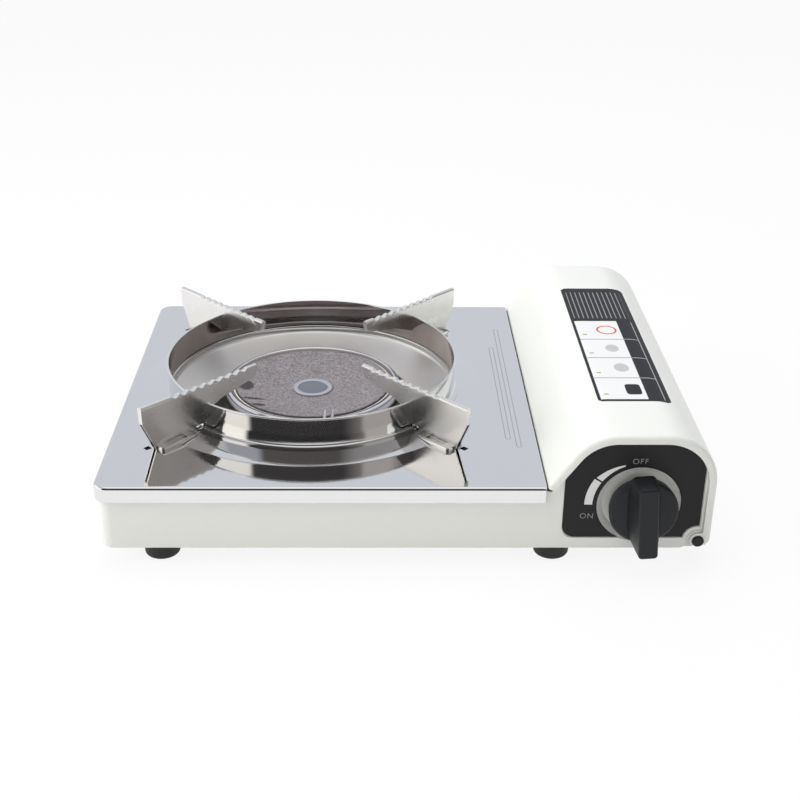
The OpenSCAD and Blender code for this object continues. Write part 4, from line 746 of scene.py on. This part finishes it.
# %% Plate edge beside the cover, and collar
# Beside the cover the rim is tighter and shorter, because the cover's wall stands there.
cut_through(bm, (0, 0, plate_z - short_rim_h), (0, 0, 1))
for vert in bm.verts:
    if vert.co.x > plate_w - 2.6:
        vert.co.x = plate_w - rim_squeeze * (plate_w - vert.co.x)
short = [f for f in bm.faces if f.calc_center_median().x > plate_w - 0.1
         and f.calc_center_median().z < plate_z - short_rim_h]
bmesh.ops.delete(bm, geom=short, context="FACES")
collar = turned([(collar_r + 2, plate_z, 0), (collar_r, plate_z, 8.0), (collar_in_r, pad_z, 6.0),
                 (well_r, pad_z, 1.0), (well_r, pad_z - 4.8, 0)], closed=False, steps=192, fine=2)
bmesh.ops.translate(collar, vec=(centre_x, centre_y, 0), verts=collar.verts[:])
join(bm, collar)
print("rim and collar:", len(bm.verts), "points")

# %% Plate field
hole_places, hole_r = ((-93.4, -87.8), (93.4, -87.8), (-92.0, 88.2), (91.0, 87.2)), 2.7
for x, y in hole_places:
    hole = bmesh.ops.create_circle(bm, segments=4, radius=hole_r)["verts"]
    bmesh.ops.translate(bm, vec=(centre_x + x, centre_y + y, plate_z), verts=hole)
bmesh.ops.remove_doubles(bm, verts=bm.verts[:], dist=0.005)
loops = [e for e in bm.edges if len(e.link_faces) < 2
         and all(abs(v.co.z - plate_z) < 0.002 for v in e.verts)]
bmesh.ops.triangle_fill(bm, edges=loops, normal=(0, 0, 1), use_beauty=True)
print("loops of the field:", len(loops), "edges")
piece("plate_pressing", bm, plate_steel, "base", ["top_plate"], wall=plate_t)

# %% [markdown]
# ## The wind ring
# The pan support's ring is rolled from thin polished sheet, with a small turned-out foot and a
# rolled bead on its top edge. It is spun in 304 steps, so two steps are the width of the slot
# that each arm stands in. The faces in the four slots are left out before the sheet gets its
# thickness.

# %% Wind ring
steps = 304


def in_slot(face, low):
    spot = face.calc_center_median()
    bearing = degrees(atan2(spot.y, spot.x)) % 90 - 45
    return spot.z > low and abs(bearing) < 1.1


bm = turned([(95.2, pad_z + 0.9, 0), (92.0, pad_z + 0.9, 1.2), (92.0, pad_z + 8.2, 0),
             (92.0, pad_z + 18.3, 0)], closed=False, steps=steps, fine=18)
bmesh.ops.delete(bm, geom=[f for f in bm.faces if in_slot(f, pad_z + 8.2)], context="FACES")
piece("wind_ring", bm, ring_steel, "pan_support", ["pan_ring"], burner_place,
      wall=0.9)
bead = turned([(92.5, pad_z + 19.0, 0.69), (92.5, pad_z + 17.6, 0.69), (91.1, pad_z + 17.6, 0.69),
               (91.1, pad_z + 19.0, 0.69)], steps=steps, fine=30)
bmesh.ops.delete(bead, geom=[f for f in bead.faces if in_slot(f, 0)], context="FACES")
bmesh.ops.remove_doubles(bead, verts=bead.verts[:], dist=0.002)
bmesh.ops.holes_fill(bead, edges=bead.edges[:], sides=0)
piece("wind_ring_bead", bead, polished, "pan_support", (), burner_place)

# %% [markdown]
# ## The pan arms
# Each arm is one strip of sheet folded over its top edge. The flat cheek is a filled outline,
# and the fold is its top edge spun half a turn round the fold's axis, which lands on the other
# cheek. The teeth are pressed into the fold: its points sink in a row of round bumps. Then
# the sheet gets its thickness, so the arm's ends show two edges and the gap between them.

# %% Arm sizes and teeth
arm_h, arm_out, arm_in, half_t = 27.6, 135.0, 47.0, 1.8
fold_z = arm_h - half_t
outer_end, inner_end = arm_out - 0.6, arm_in + 0.3
first_tooth, tooth_pitch, teeth, tooth_depth, tooth_swell = 54.45, 6.5, 9, 1.7, 0.22
slope_in, slope_out = 98.8, 112.2


def tooth(x):
    """How far the fold sinks at x: 0 on a bump's crest and 1 in a notch between two bumps."""
    along = (x - first_tooth) / tooth_pitch
    if along < 0 or along > teeth:
        return 0.0
    return (0.5 - 0.5 * cos(2 * pi * along)) ** 1.3


print("arm from", arm_in, "to", arm_out, "mm, with", teeth, "teeth")


# %% Arm strip
def arm_mesh():
    bm = bmesh.new()
    section(bm, [(outer_end, fold_z, 0), (arm_out - 0.9, arm_h - 11.3, 2.0), (125.7, -collar_h, 0),
                 (slope_out, -collar_h, 0), (slope_in, 0, 0), (96.2, 0, 0), (96.2, 2.4, 0),
                 (92.1, 2.4, 0), (92.1, 8.4, 0), (90.9, 8.4, 0), (75.0, arm_h - 12.9, 9.0),
                 (49.4, arm_h - 7.8, 2.2), (inner_end, fold_z, 0)], closed=False)
    ends = sorted([v for v in bm.verts if abs(v.co.z - fold_z) < 0.001], key=lambda v: v.co.x)
    top = bm.edges.new(ends)
    bmesh.ops.subdivide_edges(bm, edges=[top], cuts=175)
    bmesh.ops.contextual_create(bm, geom=bm.edges[:])
    bmesh.ops.translate(bm, vec=(0, -half_t, 0), verts=bm.verts[:])
    fold = [e for e in bm.edges if all(abs(v.co.z - fold_z) < 0.001 for v in e.verts)]
    verts = list({v for e in fold for v in e.verts})
    cheek = bmesh.ops.duplicate(bm, geom=bm.faces[:])["geom"]
    bmesh.ops.translate(bm, vec=(0, 2 * half_t, 0), verts=points(cheek))
    bmesh.ops.spin(bm, geom=verts + fold, cent=(0, 0, fold_z), axis=(1, 0, 0), angle=-pi, steps=10)
    bmesh.ops.remove_doubles(bm, verts=bm.verts[:], dist=0.003)
    for vert in bm.verts:
        rise = max(vert.co.z - fold_z, 0) / half_t
        sink = tooth(vert.co.x)
        vert.co.z -= tooth_depth * sink * rise
        vert.co.y *= 1 + tooth_swell * (0.5 - sink) * rise
    for end in (outer_end, inner_end):
        close_end(bm, end)
    return bm


def close_end(bm, x):
    """Joins the two cheeks at one end of the arm, and rounds that end's corners."""
    tops = [v for v in bm.verts if abs(v.co.x - x) < 0.02 and abs(v.co.z - fold_z) < 0.01
            and abs(v.co.y) > half_t - 0.01]
    sides = [min(v.link_edges, key=lambda e: e.other_vert(v).co.z) for v in tops]
    bmesh.ops.contextual_create(bm, geom=sides)
    hood = [e for e in bm.edges
            if all(abs(v.co.x - x) < 0.02 and v.co.z > fold_z - 0.01 for v in e.verts)]
    bmesh.ops.contextual_create(bm, geom=hood)
    bmesh.ops.recalc_face_normals(bm, faces=bm.faces[:])
    soften(bm, sides, 0.8, 3, clamp_overlap=True)


print("arm ready")

# %% Shoe
shoe_in, shoe_out, shoe_side, shoe_top, slot_depth = 98.6, 125.0, 7.0, 0.3, 2.2


def top_face(bm):
    return max((f for f in bm.faces if f.normal.z > 0.99), key=lambda f: f.calc_area())


def foot_mesh(side):
    """The flange turned out from a cheek: a rounded shoe with a slot pressed through it."""
    bm = bmesh.new()
    section(bm, [(shoe_in, side * 1.5, 0), (shoe_in, side * shoe_side, 2.4),
                 (shoe_out, side * shoe_side, 2.4), (shoe_out, side * 1.5, 0)])
    bmesh.ops.transform(bm, matrix=lay, verts=bm.verts[:])
    face = bmesh.ops.contextual_create(bm, geom=bm.edges[:])["faces"]
    drawn = bmesh.ops.extrude_face_region(bm, geom=face)["geom"]
    bmesh.ops.translate(bm, vec=(0, 0, shoe_top + collar_h), verts=points(drawn))
    bmesh.ops.translate(bm, vec=(0, 0, -collar_h), verts=bm.verts[:])
    bmesh.ops.recalc_face_normals(bm, faces=bm.faces[:])
    soften(bm, [e for e in bm.edges if all(v.co.z > 0.2 for v in e.verts)
                and max(abs(v.co.y) for v in e.verts) > 1.6], 1.5, 5)
    bmesh.ops.inset_region(bm, faces=[top_face(bm)], thickness=0.45)
    slot = top_face(bm)
    bmesh.ops.scale(bm, vec=(0.58, 1, 1), verts=slot.verts[:],
                    space=Matrix.Translation((-112, 0, 0)))
    bmesh.ops.translate(bm, vec=(0, 0.3 * side, 0), verts=slot.verts[:])
    drawn = bmesh.ops.extrude_face_region(bm, geom=[slot])["geom"]
    bmesh.ops.delete(bm, geom=[slot], context="FACES_ONLY")
    bmesh.ops.translate(bm, vec=(0, 0, -slot_depth), verts=points(drawn))
    cut_through(bm, (slope_out, 0, 0), (1, 0, 0))
    for vert in bm.verts:
        if vert.co.z > 0:
            vert.co.z -= 1.5 * (vert.co.x - shoe_in) / (shoe_out - shoe_in)
        if vert.co.z < 0:
            share = min(1, max(0, (vert.co.x - slope_in) / (slope_out - slope_in)))
            vert.co.z = max(vert.co.z, -collar_h * share)
    return bm


print("shoe ready")

# %% Four arms
for name, bearing in (("front_left", 225), ("front_right", 315), ("rear_left", 135),
                      ("rear_right", 45)):
    turn = Matrix.Translation((0, 0, pad_z)) @ Matrix.Rotation(radians(bearing), 4, "Z")
    place = burner_place @ turn
    piece("arm_" + name, arm_mesh(), arm_steel, "pan_support",
          ["pan_arm_" + name], place, crease=50, wall=0.9)
    for side, end in ((-1, "right"), (1, "left")):
        piece("shoe_" + name + "_" + end, foot_mesh(side), arm_steel, "pan_support",
              (), place, crease=50)

# %% [markdown]
# ## The burner
# The drip bowl, the clamp rim and the centre eyelet are turned parts, so each is a section
# spun about the burner's axis. The woven disc is a shallow dish; its weave is in its finish.

# %% Drip bowl and clamp rim
low_z, rim_z = pad_z - 14, pad_z - 1.2
bm = turned([(65.0, low_z + 1.4, 0), (66.0, low_z + 0.8, 0.8), (80, low_z + 4.3, 60),
             (91.8, pad_z - 4.6, 4.4), (91.8, pad_z - 0.9, 0.4), (96.0, pad_z - 0.9, 0)],
            closed=False, steps=192)
piece("drip_bowl", bm, bowl_steel, "base", ["burner_bowl"], burner_place, wall=-0.7)
bm = turned([(50.2, rim_z - 0.7, 0.1), (51.4, rim_z - 0.5, 0.6), (53.0, rim_z - 0.1, 1),
             (54.0, rim_z + 0.7, 1.0), (56.6, rim_z + 0.7, 2.2), (56.6, rim_z - 8, 0.3),
             (55.7, rim_z - 8, 0.3), (55.7, rim_z - 0.4, 0.2)], steps=192, fine=12)
piece("clamp_rim", bm, rim_steel, "base", ["burner_rim"], burner_place)

# %% Woven disc and eyelet
dish_z, dish_r = rim_z - 4.5, 12.8
bm = turned([(0, dish_z - 0.8, 0), (dish_r, dish_z - 0.8, 0), (48.4, rim_z - 0.9, 0),
             (49.9, rim_z - 2.2, 0), (51.0, rim_z - 1.8, 0), (49.7, rim_z + 0.5, 1.6),
             (dish_r, dish_z, 0.5), (0, dish_z, 0)], closed=False)
piece("woven_disc", bm, mesh_weave, "base", ["burner_mesh"], burner_place)
bm = turned([(0, dish_z + 0.05, 0), (dish_r, dish_z + 0.05, 0), (dish_r, dish_z + 1.2, 0.5),
             (9.6, dish_z + 1.2, 0.8), (9.2, dish_z + 0.6, 0.3), (0, dish_z + 0.6, 0)],
            closed=False)
piece("eyelet", bm, eyelet_steel, "base", ["burner_eyelet"], burner_place)

# %% Electrode beads
# The spark jumps between two small bright beads on the electrode's rods.
bm = bmesh.new()
for x in (128.0, 132.7):
    bead = bmesh.ops.create_uvsphere(bm, u_segments=24, v_segments=12, radius=1.3)["verts"]
    bmesh.ops.translate(bm, vec=(x, 78.0, pad_z + 2.2), verts=bead)
piece("electrode_beads", bm, satin, "base")

# %% [markdown]
# ## The studio
# Polished steel looks like what surrounds it. This room is dark in front of the stove, as a
# studio is behind its camera, has a tall bright panel on the left and a dimmer one on the
# right, and is pale blue-grey behind. The world sees a direction, so its bearing, which an
# arctangent gives, drives a ramp of colours: one for low directions, one for high ones. Camera
# and transmission rays see plain white, and the steel sees the room.

# %% World directions
world = bpy.data.worlds.new("studio")
bpy.context.scene.world = world
world.use_nodes = True
wt = world.node_tree
background = wt.nodes["Background"]
coords = wt.nodes.new("ShaderNodeTexCoord")
direction = Socket(wt, coords.outputs["Generated"])
rays = wt.nodes.new("ShaderNodeLightPath")
camera_ray = Socket(wt, rays.outputs["Is Camera Ray"])
through_ray = Socket(wt, rays.outputs["Is Transmission Ray"])
height = direction.part(2)
bearing = direction.math("ARCTAN2", direction.part(0), 0 - direction.part(1)) / (2 * pi) + 0.5


def room(stops):
    """A ramp round the room. Each stop is a bearing in degrees, 0 in front and 90 at the right."""
    places = [((angle + 180) / 360, (*colour, 1)) for angle, colour in stops]
    return bearing.node("ShaderNodeValToRGB", {"stops": places}, {0: bearing})


dark, cream_light, warm = (0.030, 0.029, 0.030), (1.30, 1.25, 1.16), (0.52, 0.485, 0.46)
back_light = (0.69, 0.715, 0.77)
low_room = room([(-180, back_light), (-124, back_light), (-104, (1.35, 1.31, 1.26)),
                 (-82, cream_light), (-50, cream_light), (-47, dark), (26, dark),
                 (40, (0.20, 0.18, 0.17)), (43, warm), (66, warm), (76, (0.20, 0.185, 0.18)),
                 (116, (0.23, 0.22, 0.22)), (150, back_light), (180, back_light)])
grey_light = (0.42, 0.43, 0.47)
high_room = room([(-180, back_light), (-120, back_light), (-88, (0.60, 0.61, 0.63)),
                  (-82, grey_light), (-52, grey_light), (-45, (0.11, 0.10, 0.10)),
                  (26, (0.10, 0.09, 0.09)), (43, (0.30, 0.29, 0.29)), (84, (0.36, 0.35, 0.35)),
                  (140, back_light), (180, back_light)])
print("room ready")

# %% World colour
def above(low, high):
    """0 for directions below low and 1 above high, with a smooth step between."""
    return height.node("ShaderNodeMapRange", {"interpolation_type": "SMOOTHSTEP"},
                       {"Value": height, "From Min": low, "From Max": high})


white = (1.0, 1.0, 1.0, 1.0)
tone = above(0.80, 0.93).blend(above(0.36, 0.72).blend(low_room, high_room), white)
tone = camera_ray.math("MAXIMUM", camera_ray, through_ray).blend(tone, white)
wt.links.new(tone.link, background.inputs["Color"])
background.inputs["Strength"].default_value = 1.0
print("world ready")

# %% Lamps
def softbox(name, place, target, size, watts):
    data = bpy.data.lights.new(name, "AREA")
    data.shape = "RECTANGLE"
    data.size, data.size_y = size
    data.energy = watts
    lamp = bpy.data.objects.new(name, data)
    turn = (Vector(target) - Vector(place)).to_track_quat("-Z", "Y")
    lamp.matrix_world = Matrix.Translation(place) @ turn.to_matrix().to_4x4()
    lamp.visible_glossy = False
    bpy.context.scene.collection.objects.link(lamp)


softbox("top_box", (-0.1, 0.25, 1.3), (0, 0, 0), (1.4, 0.9), 8.0)
softbox("left_box", (-1.2, -0.4, 0.8), (0, 0, 0.03), (0.7, 0.9), 8.0)
softbox("front_box", (0.3, -1.3, 0.5), (0, 0, 0.03), (0.9, 0.5), 2.6)
print("three lamps")

# %% Floor
floor_mesh = bpy.data.meshes.new("floor")
bm = bmesh.new()
bmesh.ops.create_grid(bm, x_segments=1, y_segments=1, size=6.0)
bm.to_mesh(floor_mesh)
bm.free()
floor = bpy.data.objects.new("floor", floor_mesh)
bpy.context.scene.collection.objects.link(floor)
paper = bpy.data.materials.new("floor_paper")
paper.use_nodes = True
pt = paper.node_tree
diffuse = pt.nodes["Principled BSDF"]
diffuse.inputs["Base Color"].default_value = (0.86, 0.86, 0.86, 1)
diffuse.inputs["Roughness"].default_value = 0.9
diffuse.inputs["Specular IOR Level"].default_value = 0.0
glow = pt.nodes.new("ShaderNodeEmission")
glow.inputs["Color"].default_value = (1, 1, 1, 1)
mix = pt.nodes.new("ShaderNodeMixShader")
path = pt.nodes.new("ShaderNodeLightPath")
seen = Socket(pt, path.outputs["Is Camera Ray"])
for kind in ("Is Glossy Ray", "Is Transmission Ray"):
    seen = seen.math("MAXIMUM", seen, Socket(pt, path.outputs[kind]))
seen = seen * 0.88
pt.links.new(seen.link, mix.inputs[0])
pt.links.new(diffuse.outputs[0], mix.inputs[1])
pt.links.new(glow.outputs[0], mix.inputs[2])
pt.links.new(mix.outputs[0], pt.nodes["Material Output"].inputs["Surface"])
floor_mesh.materials.append(paper)
print("floor ready")
